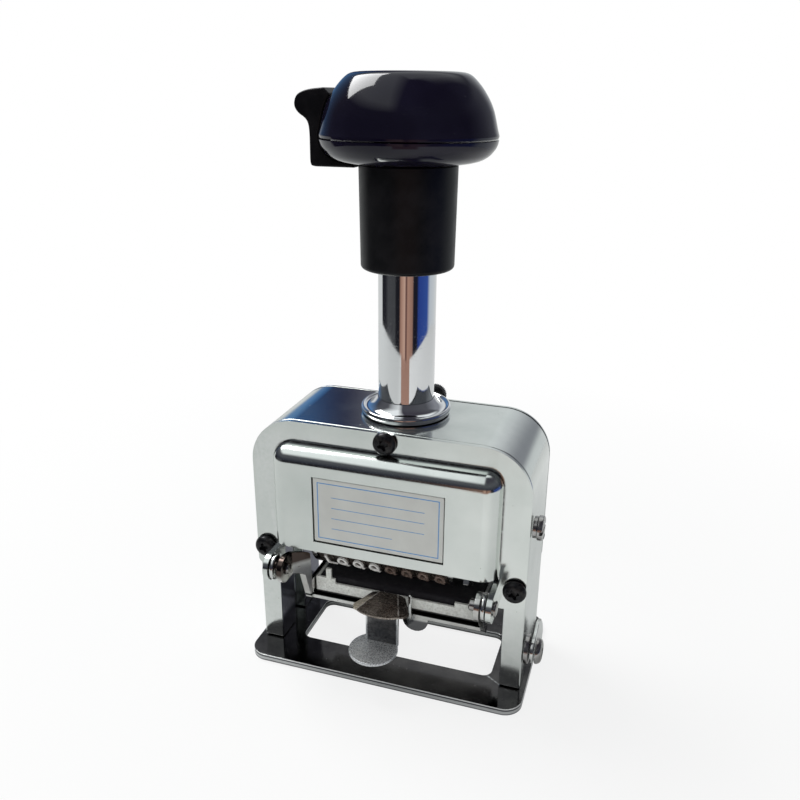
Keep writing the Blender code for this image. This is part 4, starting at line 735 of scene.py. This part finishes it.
# neck and its flange
neckLook = {"bore": 6.1, "throat": 3.7, "seat": 76.0, "lip": 0.35, "flangePlay": 0.12,
            "flare": ((0.0, 1.0), (0.03, 1.0), (0.09, 0.90), (0.17, 0.77), (0.26, 0.62), (0.36, 0.50),
                      (0.48, 0.40), (0.60, 0.35), (0.70, 0.345), (0.76, 0.36), (0.79, 0.42), (0.84, 0.455),
                      (0.91, 0.455), (0.96, 0.43), (0.99, 0.37), (1.0, 0.30), (1.0, 0.22), (0.985, 0.16),
                      (0.94, 0.13), (0.93, 0.06), (0.92, 0.0))}
low, high, middle = inMm("neck_tube")
lip, bore, throat, seatZ = [neckLook[key] for key in ("lip", "bore", "throat", "seat")]
neck = [(bore, high.z - lip), (bore + lip, high.z), (neckRadius - lip, high.z), (neckRadius, high.z - lip),
        (neckRadius, low.z), (throat, low.z), (throat, seatZ), (bore, seatZ)]
finished("neckTube", turned(neck, steps=128, ring=True), neckChrome, "frame", ("neck_tube",))
low, high, middle = inMm("neck_flange")
flangeIn = neckRadius + neckLook["flangePlay"]
flare = [(flangeIn + across, low.z + up)
         for across, up in scaledTo(high.x - flangeIn, high.z - low.z, neckLook["flare"])]
flange = turned(flare + [(flangeIn, low.z)], steps=128, ring=True)
finished("neckFlange", flange, neckChrome, "frame", ("neck_flange",), sharp=50)
print("neck done")

# knob, sleeve and finger hook
knobLook = {"cavity": 9.0, "seamGroove": 0.22, "seamRise": 0.03, "rod": 3.5, "ceiling": 5.7, "socket": 11.0,
            "dome": ((0.0, 1.0), (0.15, 0.9997), (0.35, 0.999), (0.48, 0.9965), (0.56, 0.9925),
                     (0.605, 0.985), (0.64, 0.972), (0.67, 0.951), (0.695, 0.925), (0.72, 0.892),
                     (0.75, 0.848), (0.785, 0.790), (0.82, 0.723), (0.85, 0.657), (0.875, 0.597),
                     (0.897, 0.536), (0.917, 0.470), (0.935, 0.400), (0.950, 0.322), (0.963, 0.245),
                     (0.974, 0.175), (0.984, 0.115), (0.993, 0.07), (0.998, 0.045)),
            "bowl": ((0.998, 0.04), (0.995, 0.10), (0.989, 0.20), (0.979, 0.30), (0.966, 0.39),
                     (0.949, 0.475), (0.931, 0.56), (0.910, 0.645), (0.883, 0.725), (0.847, 0.808),
                     (0.802, 0.878), (0.745, 0.933), (0.675, 0.975), (0.60, 1.0))}
low, high, middle = inMm("knob_top")
footLow, footHigh, middle = inMm("knob_bottom")
knobR, knobUp, knobDown, seam = high.x, high.z - low.z, footHigh.z - footLow.z, low.z
groove, cavity, rod = knobLook["seamGroove"], knobLook["cavity"], knobLook["rod"]
dome, bowl = scaledTo(knobR, knobUp, knobLook["dome"]), scaledTo(knobR, -knobDown, knobLook["bowl"])
domeSide = dome + [(knobR, knobLook["seamRise"] * knobUp), (knobR - groove * 0.5, 0), (cavity, 0),
                   (cavity, knobLook["ceiling"]), (rod, knobLook["ceiling"]), (rod, knobLook["socket"]),
                   (0, knobLook["socket"])]
bowlSide = [(cavity, 0), (knobR - groove, 0), (knobR - groove * 0.2, -0.02 * knobDown)]
bowlSide += bowl + [(cavity, -knobDown)]
knobTop = turned(domeSide, moved(0, 0, seam), steps=160)
finished("knobTop", knobTop, knobGloss, "plunger", ("knob_top",), sharp=50)
knobBottom = turned(bowlSide, moved(0, 0, footHigh.z), steps=160, ring=True)
finished("knobBottom", knobBottom, knobGloss, "plunger", ("knob_bottom",), sharp=50)

low, high, middle = inMm("grip_sleeve")
sleeveLook = {"top": 12.0, "foot": 11.7, "bore": 7.7, "bevel": 0.2, "roll": 1.0, "rollSteps": 8}
top, foot, bore, bevel, roll = [sleeveLook[key] for key in ("top", "foot", "bore", "bevel", "roll")]
steps = sleeveLook["rollSteps"]
sleeveSide = [(bore, high.z), (top - bevel, high.z), (top, high.z - bevel)]
for k in range(steps + 1):
    angle = math.pi / 2 * k / steps
    sleeveSide.append((foot - roll * (1 - math.cos(angle)), low.z + roll * (1 - math.sin(angle))))
sleeve = turned(sleeveSide + [(bore, low.z)], steps=128, ring=True)
finished("gripSleeve", sleeve, sleeveSatin, "plunger", ("grip_sleeve",), sharp=40)


def cornersCut(points, rounds=3):
    # each round cuts every corner of an open line, whose ends stay
    for _ in range(rounds):
        cut = [points[0]]
        for (x, y), (nextX, nextY) in zip(points, points[1:]):
            cut += [(x * 0.75 + nextX * 0.25, y * 0.75 + nextY * 0.25),
                    (x * 0.25 + nextX * 0.75, y * 0.25 + nextY * 0.75)]
        points = cut + [points[-1]]
    return points


hookLook = {"outer": ((-12.3, -7.1), (-20.6, -7.1), (-23.4, -7.1), (-23.95, -6.4), (-23.95, -3.6),
                      (-23.9, 1.6), (-24.5, 3.8), (-26.9, 5.2), (-27.9, 7.0), (-27.1, 9.4), (-24.4, 10.5),
                      (-20.0, 10.9)),
            "gap": 0.3, "edge": 0.8, "top": 10.4}
low, high, middle = inMm("finger_hook")
gap = hookLook["gap"]
hookLine = cornersCut(list(hookLook["outer"]))
hookLine += [(-x - gap, z) for x, z in dome if z < hookLook["top"]]
hookLine += [(-x - gap, z - 2 * gap) for x, z in bowl]
hook = outlined([hookLine], high.y - low.y, moved(0, 0, seam) @ facingFront)
finished("fingerHook", hook, sleeveSatin, "plunger", ("finger_hook",), edge=hookLook["edge"],
         segments=4, sharp=40)
print("knob done")

# number wheels: a toothed body with raised mirrored digits
wheelLook = {"outer": 12.3, "axleY": -5.0, "axleZ": 38.0, "bore": 2.3, "valley": 1.7, "land": 14.0,
             "valleyAt": 17.0, "digitRise": 0.5, "digitHigh": 4.7, "digitWide": 2.9, "narrowest": 0.42,
             "sunk": 0.1, "edge": 0.18, "shown": "10000000", "atFront": 6, "bright": 4}
digitShapes = []
for digit in "0123456789":
    text = bpy.data.curves.new("digit", "FONT")
    text.body = digit
    text.extrude = 0.5
    text.resolution_u = 5
    text.align_x = "CENTER"
    digitShapes.append(asMesh(linked("digit", text)))
outer, axleY, axleZ = wheelLook["outer"], wheelLook["axleY"], wheelLook["axleZ"]
landTop, land = outer - wheelLook["digitRise"], wheelLook["land"]
tooth = [(-wheelLook["valleyAt"], outer - wheelLook["valley"])]
tooth += [(step, landTop) for step in (-land, -land / 2, 0, land / 2, land)]
tooth += [(wheelLook["valleyAt"], outer - wheelLook["valley"])]
teeth = [(radius, math.radians(36 * k + step)) for k in range(10) for step, radius in tooth]
wheelOutline = [Vector((radius * math.cos(angle), radius * math.sin(angle))) for radius, angle in teeth]
for number in range(1, 9):
    node, body = "number_wheel_%d" % number, "wheel_%d" % number
    low, high, middle = inMm(node)
    wheel = outlined([wheelOutline, ringOf(wheelLook["bore"])], high.x - low.x,
                     moved(middle.x, axleY, axleZ) @ facingRight)
    finished("wheelBody%d" % number, wheel, wheelMetal, body, (node,), edge=wheelLook["edge"], sharp=30)
    digits = bmesh.new()
    for k in range(10):
        glyph = digitShapes[(int(wheelLook["shown"][number - 1]) + k - wheelLook["atFront"]) % 10].copy()
        xs, ys = [v.co.x for v in glyph.vertices], [v.co.y for v in glyph.vertices]
        scaleX = wheelLook["digitWide"] / max(max(xs) - min(xs), wheelLook["narrowest"])
        scaleY = wheelLook["digitHigh"] / (max(ys) - min(ys))
        for vert in glyph.vertices:
            across = (vert.co.x - (min(xs) + max(xs)) / 2) * scaleX
            along = (vert.co.y - (min(ys) + max(ys)) / 2) * scaleY
            radius = landTop - wheelLook["sunk"] if vert.co.z < 0 else outer
            angle = math.radians(36 * k) + along / outer
            vert.co = (middle.x + across, axleY + radius * math.cos(angle), axleZ + radius * math.sin(angle))
        glyph.flip_normals()
        digits.from_mesh(glyph)
    bmesh.ops.remove_doubles(digits, verts=digits.verts, dist=weldMm)
    look = digitBright if number <= wheelLook["bright"] else digitInked
    finished("wheelDigits%d" % number, digits, look, body, weighted=False)
print("wheels done")

# pad carrier, pins and washers
refined("pad_carrier", railChrome, "pad_swing", edge=0.3, segments=3, sharp=35)
pivotLook = {"pin": 1.5, "headThick": 0.6, "tip": 0.3, "washerHole": 1.8,
             "head": ((0.5, 0), (0.8, 0.05), (0.95, 0.18), (1, 0.34)),  # shares of the radius, and mm down
             "rim": ((0.3, 0), (0.09, 0.1), (0, 0.3))}  # mm in from the washer's edge, and mm down
pinR, tip, hole = pivotLook["pin"], pivotLook["tip"], pivotLook["washerHole"]
for side, facing in (("left", turnedLeft), ("right", turnedRight)):
    pivot = moved(0, pivotY, pivotZ) @ facing
    low, high, middle = inMm("pad_pin_" + side)
    inner, outer = sorted((abs(low.x), abs(high.x)))
    headR, headFoot = (high.z - low.z) / 2, outer - pivotLook["headThick"]
    pin = [(0, outer - 0.05)] + [(headR * share, outer - depth) for share, depth in pivotLook["head"]]
    pin += [(headR, headFoot), (pinR, headFoot), (pinR, inner + tip), (pinR - tip, inner), (0, inner)]
    pin = turned(pin, pivot, steps=48)
    finished("padPin_" + side, pin, turnedSteel, "frame", ("pad_pin_" + side,), sharp=40)
    low, high, middle = inMm("pivot_washer_" + side)
    inner, outer = sorted((abs(low.x), abs(high.x)))
    washerR = (high.z - low.z) / 2
    washer = [(hole, outer)] + [(washerR - back, outer - depth) for back, depth in pivotLook["rim"]]
    washer += [(washerR - back, inner + depth) for back, depth in pivotLook["rim"][::-1]] + [(hole, inner)]
    washer = turned(washer, pivot, steps=64, ring=True)
    finished("pivotWasher_" + side, washer, pinChrome, "frame", ("pivot_washer_" + side,), sharp=50)

# ink tray, felt, grip and catch
refined("ink_tray", zincTray, "tray", edge=0.14)
low, high, middle = inMm("ink_pad")
feltLow, feltHigh = low, high
feltLook = {"crown": 0.22, "cells": (90, 28), "rough": 0.09, "drawnIn": 0.25, "footHigh": 0.5,
            "shoulder": 0.55, "flat": (10, 6), "fall": 0.9}
columns, rows = feltLook["cells"]
random.seed(7)


def feltSpot(level, i, j):
    # a crowned top with a rough face, sides that bulge a little, and a flat foot
    u, v = i / columns, j / rows
    inset = 0 if level in (1, 2) else feltLook["drawnIn"]
    x = feltLow.x + inset + (feltHigh.x - feltLow.x - 2 * inset) * u
    y = feltLow.y + inset + (feltHigh.y - feltLow.y - 2 * inset) * v
    if level == 3:
        flatX, flatY = feltLook["flat"]
        fall = 1 - ((2 * abs(u - 0.5)) ** flatX + (2 * abs(v - 0.5)) ** flatY) * feltLook["fall"]
        z = feltHigh.z + feltLook["crown"] * (max(fall, -1) - 1)
        return x, y, min(z - random.random() * feltLook["rough"], feltHigh.z)
    return x, y, (feltLow.z, feltLow.z + feltLook["footHigh"], feltHigh.z - feltLook["shoulder"])[level]


felt = slab(columns, rows, 4, feltSpot)
felt = finished("inkFeltPad", felt, inkFelt, "tray", ("ink_pad",), sharp=80, weighted=False)

# the grip: a fan with two fold lines, a web and a round foot
gripLook = {"middle": 0.3, "half": 7.8, "neck": 4.7, "out": 6.2, "front": 10.9, "back": -14.9,
            "cells": (26, 44), "thick": 0.495, "creaseAt": 0.55, "creaseSpread": 0.35, "foldSlope": 0.30,
            "slope": 0.02, "mostDrop": 0.90, "web": (4.6, 5.0, 0.9),
            "foot": (6.6, 1.3, 4.0), "footHalf": 0.45, "footRim": ((0.25, 0.45), (0.07, 0.38), (0, 0.2)),
            "glint": (0.80, 0.72, 0.58), "shade": (0.06, 0.05, 0.045), "crease": (0.88, 0.85, 0.80)}
gripX, backY, neckHalf = gripLook["middle"], gripLook["back"], gripLook["neck"]


def foldAt(out):
    # how far each fold is from the grip's middle; the folds run outwards from the back
    return out * gripLook["creaseSpread"] + neckHalf * gripLook["creaseAt"]


def gripPaint(dark, light, speckMm, speckShare, plating, folded=False):
    def paint(wire, place):
        metallic = plating
        brush = noise(wire, place, 0.5, 4.0, 0.7, (0.12, 1.0, 1.0))
        speck = noise(wire, place, speckMm, 4.0, 0.75).between(speckShare, speckShare + 0.12)
        cloud = noise(wire, place, 4.0).between(0.35, 0.7)
        colour = brush.between(0.3, 0.7).mix(dark, cloud.mix(dark, light))
        if folded:
            # painted glint on the left facets, painted shade on the right facets and a painted highlight
            # along each fold
            out, x = backY - place.fromAxis(1), place.fromAxis(0) - gripX
            past = abs(x) - foldAt(out)
            leftSide = past.between(-0.15, 0.15) * (x < 0) * out.between(1.5, 4.0)
            colour = (leftSide * brush.between(0.25, 0.6, 0.35, 1.0)).mix(colour, gripLook["glint"])
            rightSide = past.between(-0.1, 0.1) * (x > 0)
            colour = (rightSide * 0.6).mix(colour, gripLook["shade"])
            crease = abs(past).between(0.28, 0.08) * noise(wire, place, 0.9, 2.0).between(0.35, 0.55)
            colour = (crease * 0.8).mix(colour, gripLook["crease"])
            metallic = plating - leftSide * 0.55 - crease * 0.3
        return {"Base Color": (speck * 0.8).mix(colour, light), "Metallic": metallic,
                "Roughness": speck * 0.15 + brush * 0.2 + 0.16,
                "Normal": bumped(wire, brush + speck * 0.4, 0.04, 0.5)}
    return paint


gripBrown = surface("gripBrown", "dark_chrome",
                    gripPaint((0.13, 0.105, 0.09), (0.60, 0.54, 0.48), 0.45, 0.53, 0.85, True))
gripSpeckled = surface("gripSpeckled", "dark_chrome",
                       gripPaint((0.46, 0.48, 0.50), (0.94, 0.95, 0.96), 0.3, 0.44, 0.75))
low, high, middle = inMm("tray_grip")
fanTop = high.z
rowsOut, columnsOut = gripLook["cells"]


def fanSpot(level, i, j):
    out, half = gripLook["front"] * i / rowsOut, gripLook["half"]
    if out <= gripLook["out"]:
        wide = neckHalf + (half - neckHalf) * out / gripLook["out"]
    else:
        past = (out - gripLook["out"]) / (gripLook["front"] - gripLook["out"])
        wide = half * math.sqrt(max(1 - past * past, 0.0004))
    x = wide * (2 * j / columnsOut - 1)
    drop = max(abs(x) - foldAt(out), 0) * gripLook["foldSlope"] + gripLook["slope"] * out
    return gripX + x, backY - out, fanTop - min(drop, gripLook["mostDrop"]) - level * gripLook["thick"]


fan = slab(rowsOut, columnsOut, 2, fanSpot)
finished("gripFan", fan, gripBrown, "tray", ("tray_grip",), edge=0.12, sharp=60)
webHalf, webOut, webThick = gripLook["web"]
footR, footAside, footOut = gripLook["foot"]
footZ = low.z + gripLook["footHalf"]
web = block((gripX - webHalf, gripX + webHalf), (backY - webOut - webThick, backY - webOut),
            (footZ, fanTop - 0.7), rounding=0.12, segments=2)
finished("gripWeb", web, webChrome, "tray")
footSide = [(footR - back, up) for back, up in gripLook["footRim"]]
footSide = [(0, gripLook["footHalf"])] + footSide
footSide += [(radius, -up) for radius, up in footSide[::-1]]
foot = turned(footSide, moved(gripX - footAside, backY - webOut - footOut, footZ), steps=96)
finished("gripFoot", foot, gripSpeckled, "tray", sharp=60)
refined("tray_catch", pinChrome, "tray", edge=0.07)
print("tray done")

# selector lever and its knurled button
refined("selector_lever", darkPlate, "selector")
buttonLook = {"ridges": 36, "knurl": 0.22, "ridge": ((0.0, 0), (0.45, 0), (0.55, 1), (0.95, 1)), "body": 0.8,
              "cap": ((0, 1), (0.55, 1), (0.68, 0.94), (0.74, 0.8), (0.74, 0.7), (0, 0.7))}
low, high, middle = inMm("selector_button")
buttonR, buttonH = (high.x - low.x) / 2, high.y - low.y
knurl = []
for k in range(buttonLook["ridges"]):
    for share, sunk in buttonLook["ridge"]:
        angle, radius = math.tau * (k + share) / buttonLook["ridges"], buttonR - buttonLook["knurl"] * sunk
        knurl.append(Vector((radius * math.cos(angle), radius * math.sin(angle))))
bodyH = buttonH * buttonLook["body"]
button = outlined([knurl], bodyH, moved(middle.x, low.y + bodyH / 2, middle.z) @ facingBack)
finished("selectorButton", button, blackOxide, "selector", ("selector_button",), edge=0.08, sharp=30)
cap = scaledTo(buttonR, buttonH, buttonLook["cap"])
cap = turned(cap, moved(middle.x, low.y, middle.z) @ facingBack, steps=48)
finished("selectorButtonCap", cap, pinChrome, "selector", sharp=50)

# pieces that keep their CAD shape, with softened edges or as they are
for node, look, body in (
        ("selector_screw", turnedSteel, "frame"), ("neck_nut", innerSteel, "frame"),
        ("rod_nut", innerSteel, "plunger"), ("wheel_yoke", innerSteel, "plunger"),
        ("feed_arm", innerSteel, "feed"), ("ratchet_disc", pinChrome, "wheel_8"),
        ("detent_comb", wornBrass, "plunger")):
    refined(node, look, body, edge=0.12)
for node, look in (("plunger_rod", turnedSteel), ("wheel_axle", turnedSteel), ("axle_collar", pinChrome),
                   ("side_disc", pinChrome), ("end_disc", pinChrome), ("wheel_spacer", wornBrass)):
    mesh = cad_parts[node].data
    mesh.materials.clear()
    mesh.materials.append(look)

# the return spring: a coil of round wire with its own mesh
springLook = {"turns": 12, "wire": 0.5, "steps": 36, "around": 10, "ends": 1.1, "stroke": 25.5}
low, high, middle = inMm("return_spring")
wireR, around, springH = springLook["wire"], springLook["around"], high.z - low.z
coilR, count = (high.x - low.x) / 2 - wireR, springLook["turns"] * springLook["steps"]
coil = bmesh.new()
rings = []
for k in range(count + 1):
    angle = math.tau * k / springLook["steps"]
    centreZ = low.z + wireR * springLook["ends"] + (springH - 2 * wireR * springLook["ends"]) * k / count
    section = [math.tau * j / around for j in range(around)]
    section = [(coilR + wireR * math.cos(turnBy), centreZ + wireR * math.sin(turnBy)) for turnBy in section]
    rings.append([coil.verts.new((radius * math.cos(angle), radius * math.sin(angle), z))
                  for radius, z in section])
for one, two in zip(rings, rings[1:]):
    for j in range(around):
        coil.faces.new([one[j - 1], one[j], two[j], two[j - 1]])
coil.faces.new(rings[0][::-1])
coil.faces.new(rings[-1])
bmesh.ops.recalc_face_normals(coil, faces=coil.faces)
spring = finished("returnSpring", coil, innerSteel, "frame", ("return_spring",), sharp=50, weighted=False)
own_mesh(spring)
print("inner pieces done")

# floor: white to the camera further out, with the object's shadow kept near it
floorLook = {"reach": 0.275, "sideReach": 0.075, "bearing": 17.5, "points": 180, "under": 0.05,
             "colour": (0.80, 0.81, 0.80), "fade": (0.09, 0.24), "white": 0.80,
             "streak": (-5.0, 30.0), "streakStart": 0.185, "streakColour": (0.34, 0.19, 0.14),
             "mirroredLeft": (0.55, 0.565, 0.56), "mirroredRight": (0.75, 0.76, 0.755)}
rim = []
for k in range(floorLook["points"]):
    degrees = 360 * k / floorLook["points"]
    off = abs((degrees - floorLook["bearing"] + 180) % 360 - 180)
    reach = floorLook["reach"] + floorLook["sideReach"] * min(off / 110, 1) ** 1.3
    rim.append((reach * math.sin(math.radians(degrees)), -reach * math.cos(math.radians(degrees)), 0))
floorMesh = bpy.data.meshes.new("floor")
floorMesh.from_pydata(rim, [], [list(range(len(rim)))])
floor = linked("floor", floorMesh)
floor.location = (axisX, axisY, -floorLook["under"] * mm)
paper = bpy.data.materials.new("paleFloor")
paper.use_nodes = True
tree = paper.node_tree
wire = Wire(tree)
shader = tree.nodes["Principled BSDF"]
shader.inputs["Roughness"].default_value = 0.9
ground = wire.node("TexCoord", out="Object")
away = wire.node("VectorMath", {"operation": "LENGTH"}, {0: ground}, "Value")
bearing = wire.math("ARCTAN2", ground.part(0), 0 - ground.part(1)) * (180 / math.pi)
first, last = floorLook["streak"]
start = floorLook["streakStart"]
mirrored = wire.node("LightPath", out="Is Glossy Ray")
streak = bearing.between(first, first + 2) * bearing.between(last, last - 2)
streak = streak * away.between(start, start + 0.012) * mirrored
inMetal = (ground.part(0) / mm).between(-70, 30).mix(floorLook["mirroredLeft"], floorLook["mirroredRight"])
inMetal = ((ground.part(1) > 0) * away.between(0.15, 0.09)).mix(inMetal, floorLook["mirroredLeft"])
colour = streak.mix(mirrored.mix(floorLook["colour"], inMetal), floorLook["streakColour"])
tree.links.new(colour.socket, shader.inputs["Base Color"])
white = wire.node("Emission", None, {"Color": (1, 1, 1, 1), "Strength": 1.0})
fade = away.between(*floorLook["fade"], floorLook["white"], 1.0)
seen = wire.node("LightPath", out="Is Camera Ray") * fade
blend = wire.node("MixShader", None, {0: seen, 1: Wire(tree, shader.outputs[0]), 2: white})
tree.links.new(blend.socket, tree.nodes["Material Output"].inputs["Surface"])
floorMesh.materials.append(paper)

# what polished metal reflects: a dim room with a pale ceiling on its left and a grey wall behind.
# "wall" goes from left to right behind the object, "low" round it in degrees from the front towards +X
roomLook = {"diffuse": (0.38, 0.385, 0.39), "dim": (0.028, 0.031, 0.044), "ceiling": (0.90, 0.94, 0.95),
            "frontWall": (0.085, 0.088, 0.10), "upper": (0.055, 0.052, 0.066), "wallStart": -0.60,
            "wall": [(-0.60, (0.10, 0.22, 0.43)), (-0.52, (0.045, 0.125, 0.30)),
                     (-0.47, (0.028, 0.078, 0.20)), (-0.435, (0.022, 0.035, 0.09)),
                     (-0.41, (0.015, 0.018, 0.045)), (-0.385, (0.05, 0.05, 0.08)),
                     (-0.34, (0.18, 0.18, 0.21)), (-0.29, (0.42, 0.43, 0.45)), (-0.24, (0.64, 0.67, 0.68)),
                     (-0.10, (0.70, 0.73, 0.75)), (0.10, (0.59, 0.61, 0.64)), (0.40, (0.24, 0.25, 0.28))],
            "low": [(-180, (0.70, 0.71, 0.70)), (-100, (0.66, 0.68, 0.68)), (-96, (0.015, 0.015, 0.02)),
                    (-78, (0.015, 0.015, 0.02)), (-62, (0.060, 0.062, 0.068)), (-32, (0.055, 0.057, 0.062)),
                    (-26, (0.012, 0.012, 0.016)), (-13, (0.012, 0.012, 0.016)), (-8, (0.34, 0.19, 0.14)),
                    (9, (0.55, 0.36, 0.28)), (12, (0.14, 0.07, 0.06)), (16, (0.14, 0.07, 0.06)),
                    (19, (0.40, 0.23, 0.17)), (38, (0.30, 0.17, 0.13)), (43, (0.012, 0.012, 0.02)),
                    (57, (0.012, 0.012, 0.02)), (64, (0.022, 0.05, 0.24)), (104, (0.035, 0.08, 0.30)),
                    (118, (0.50, 0.55, 0.60)), (180, (0.70, 0.71, 0.70))]}
world = bpy.data.worlds.new("studio")
bpy.context.scene.world = world
world.use_nodes = True
tree = world.node_tree
wire = Wire(tree)
way = wire.node("TexCoord", out="Generated")
across, ahead, rise = way.part(0), way.part(1), way.part(2)
bearing = wire.math("ARCTAN2", across, 0 - ahead) * (180 / math.pi)
stops = [((degrees + 180) / 360, colour) for degrees, colour in roomLook["low"]]
lowRoom = wire.node("ValToRGB", {"stops": stops}, {0: bearing.between(-180, 180)})
behind = abs(bearing).between(102, 142)
slant = across / wire.math("MAXIMUM", abs(ahead), 0.05) - roomLook["wallStart"]
stops = [(lean - roomLook["wallStart"], colour) for lean, colour in roomLook["wall"]]
wall = wire.node("ValToRGB", {"stops": stops}, {0: slant})
glossy = rise.between(0.10, 0.45).mix(roomLook["dim"], roomLook["frontWall"])
glossy = rise.between(0.60, 0.85).mix(glossy, roomLook["upper"])
glossy = (behind * rise.between(0.60, 0.50)).mix(glossy, wall)
left = wire.math("MAXIMUM", across.between(0.02, -0.20), behind * across.between(0.45, 0.25))
glossy = (left * rise.between(0.56, 0.74)).mix(glossy, roomLook["ceiling"])
glossy = rise.between(0.10, -0.02).mix(glossy, lowRoom)
sky = wire.node("LightPath", out="Is Glossy Ray").mix(roomLook["diffuse"], glossy)
sky = wire.node("LightPath", out="Is Camera Ray").mix(sky, (1.0, 1.0, 1.0))
tree.links.new(sky.socket, tree.nodes["Background"].inputs["Color"])

lampLook = {
    "skyLamp": {"at": (-0.42, 0.16, 0.66), "size": (0.40, 0.34), "power": 4.0, "mirrored": True},
    "frontLamp": {"at": (0.25, -0.55, 0.55), "size": (0.40, 0.30), "power": 2.0, "mirrored": False},
}
aim = Vector((0, 0, 0.09))
for name, look in lampLook.items():
    lamp = bpy.data.lights.new(name, "AREA")
    lamp.shape = "RECTANGLE"
    lamp.size, lamp.size_y = look["size"]
    lamp.energy = look["power"]
    holder = linked(name, lamp)
    holder.location = look["at"]
    holder.visible_glossy = look["mirrored"]
    holder.rotation_euler = (aim - Vector(look["at"])).to_track_quat("-Z", "Y").to_euler()

cameraLook = {"at": (59.983, -189.713, 150.886), "turn": (1.2051, -0.0065, 0.3170), "lens": 36.057,
              "sensor": 36.0, "near": 0.01}
camera = linked("camera", bpy.data.cameras.new("camera"))
camera.data.lens = cameraLook["lens"]
camera.data.sensor_width = cameraLook["sensor"]
camera.data.clip_start = cameraLook["near"]
camera.location = at(*cameraLook["at"])
camera.rotation_euler = cameraLook["turn"]
bpy.context.scene.camera = camera
bpy.context.scene.view_settings.view_transform = "Standard"
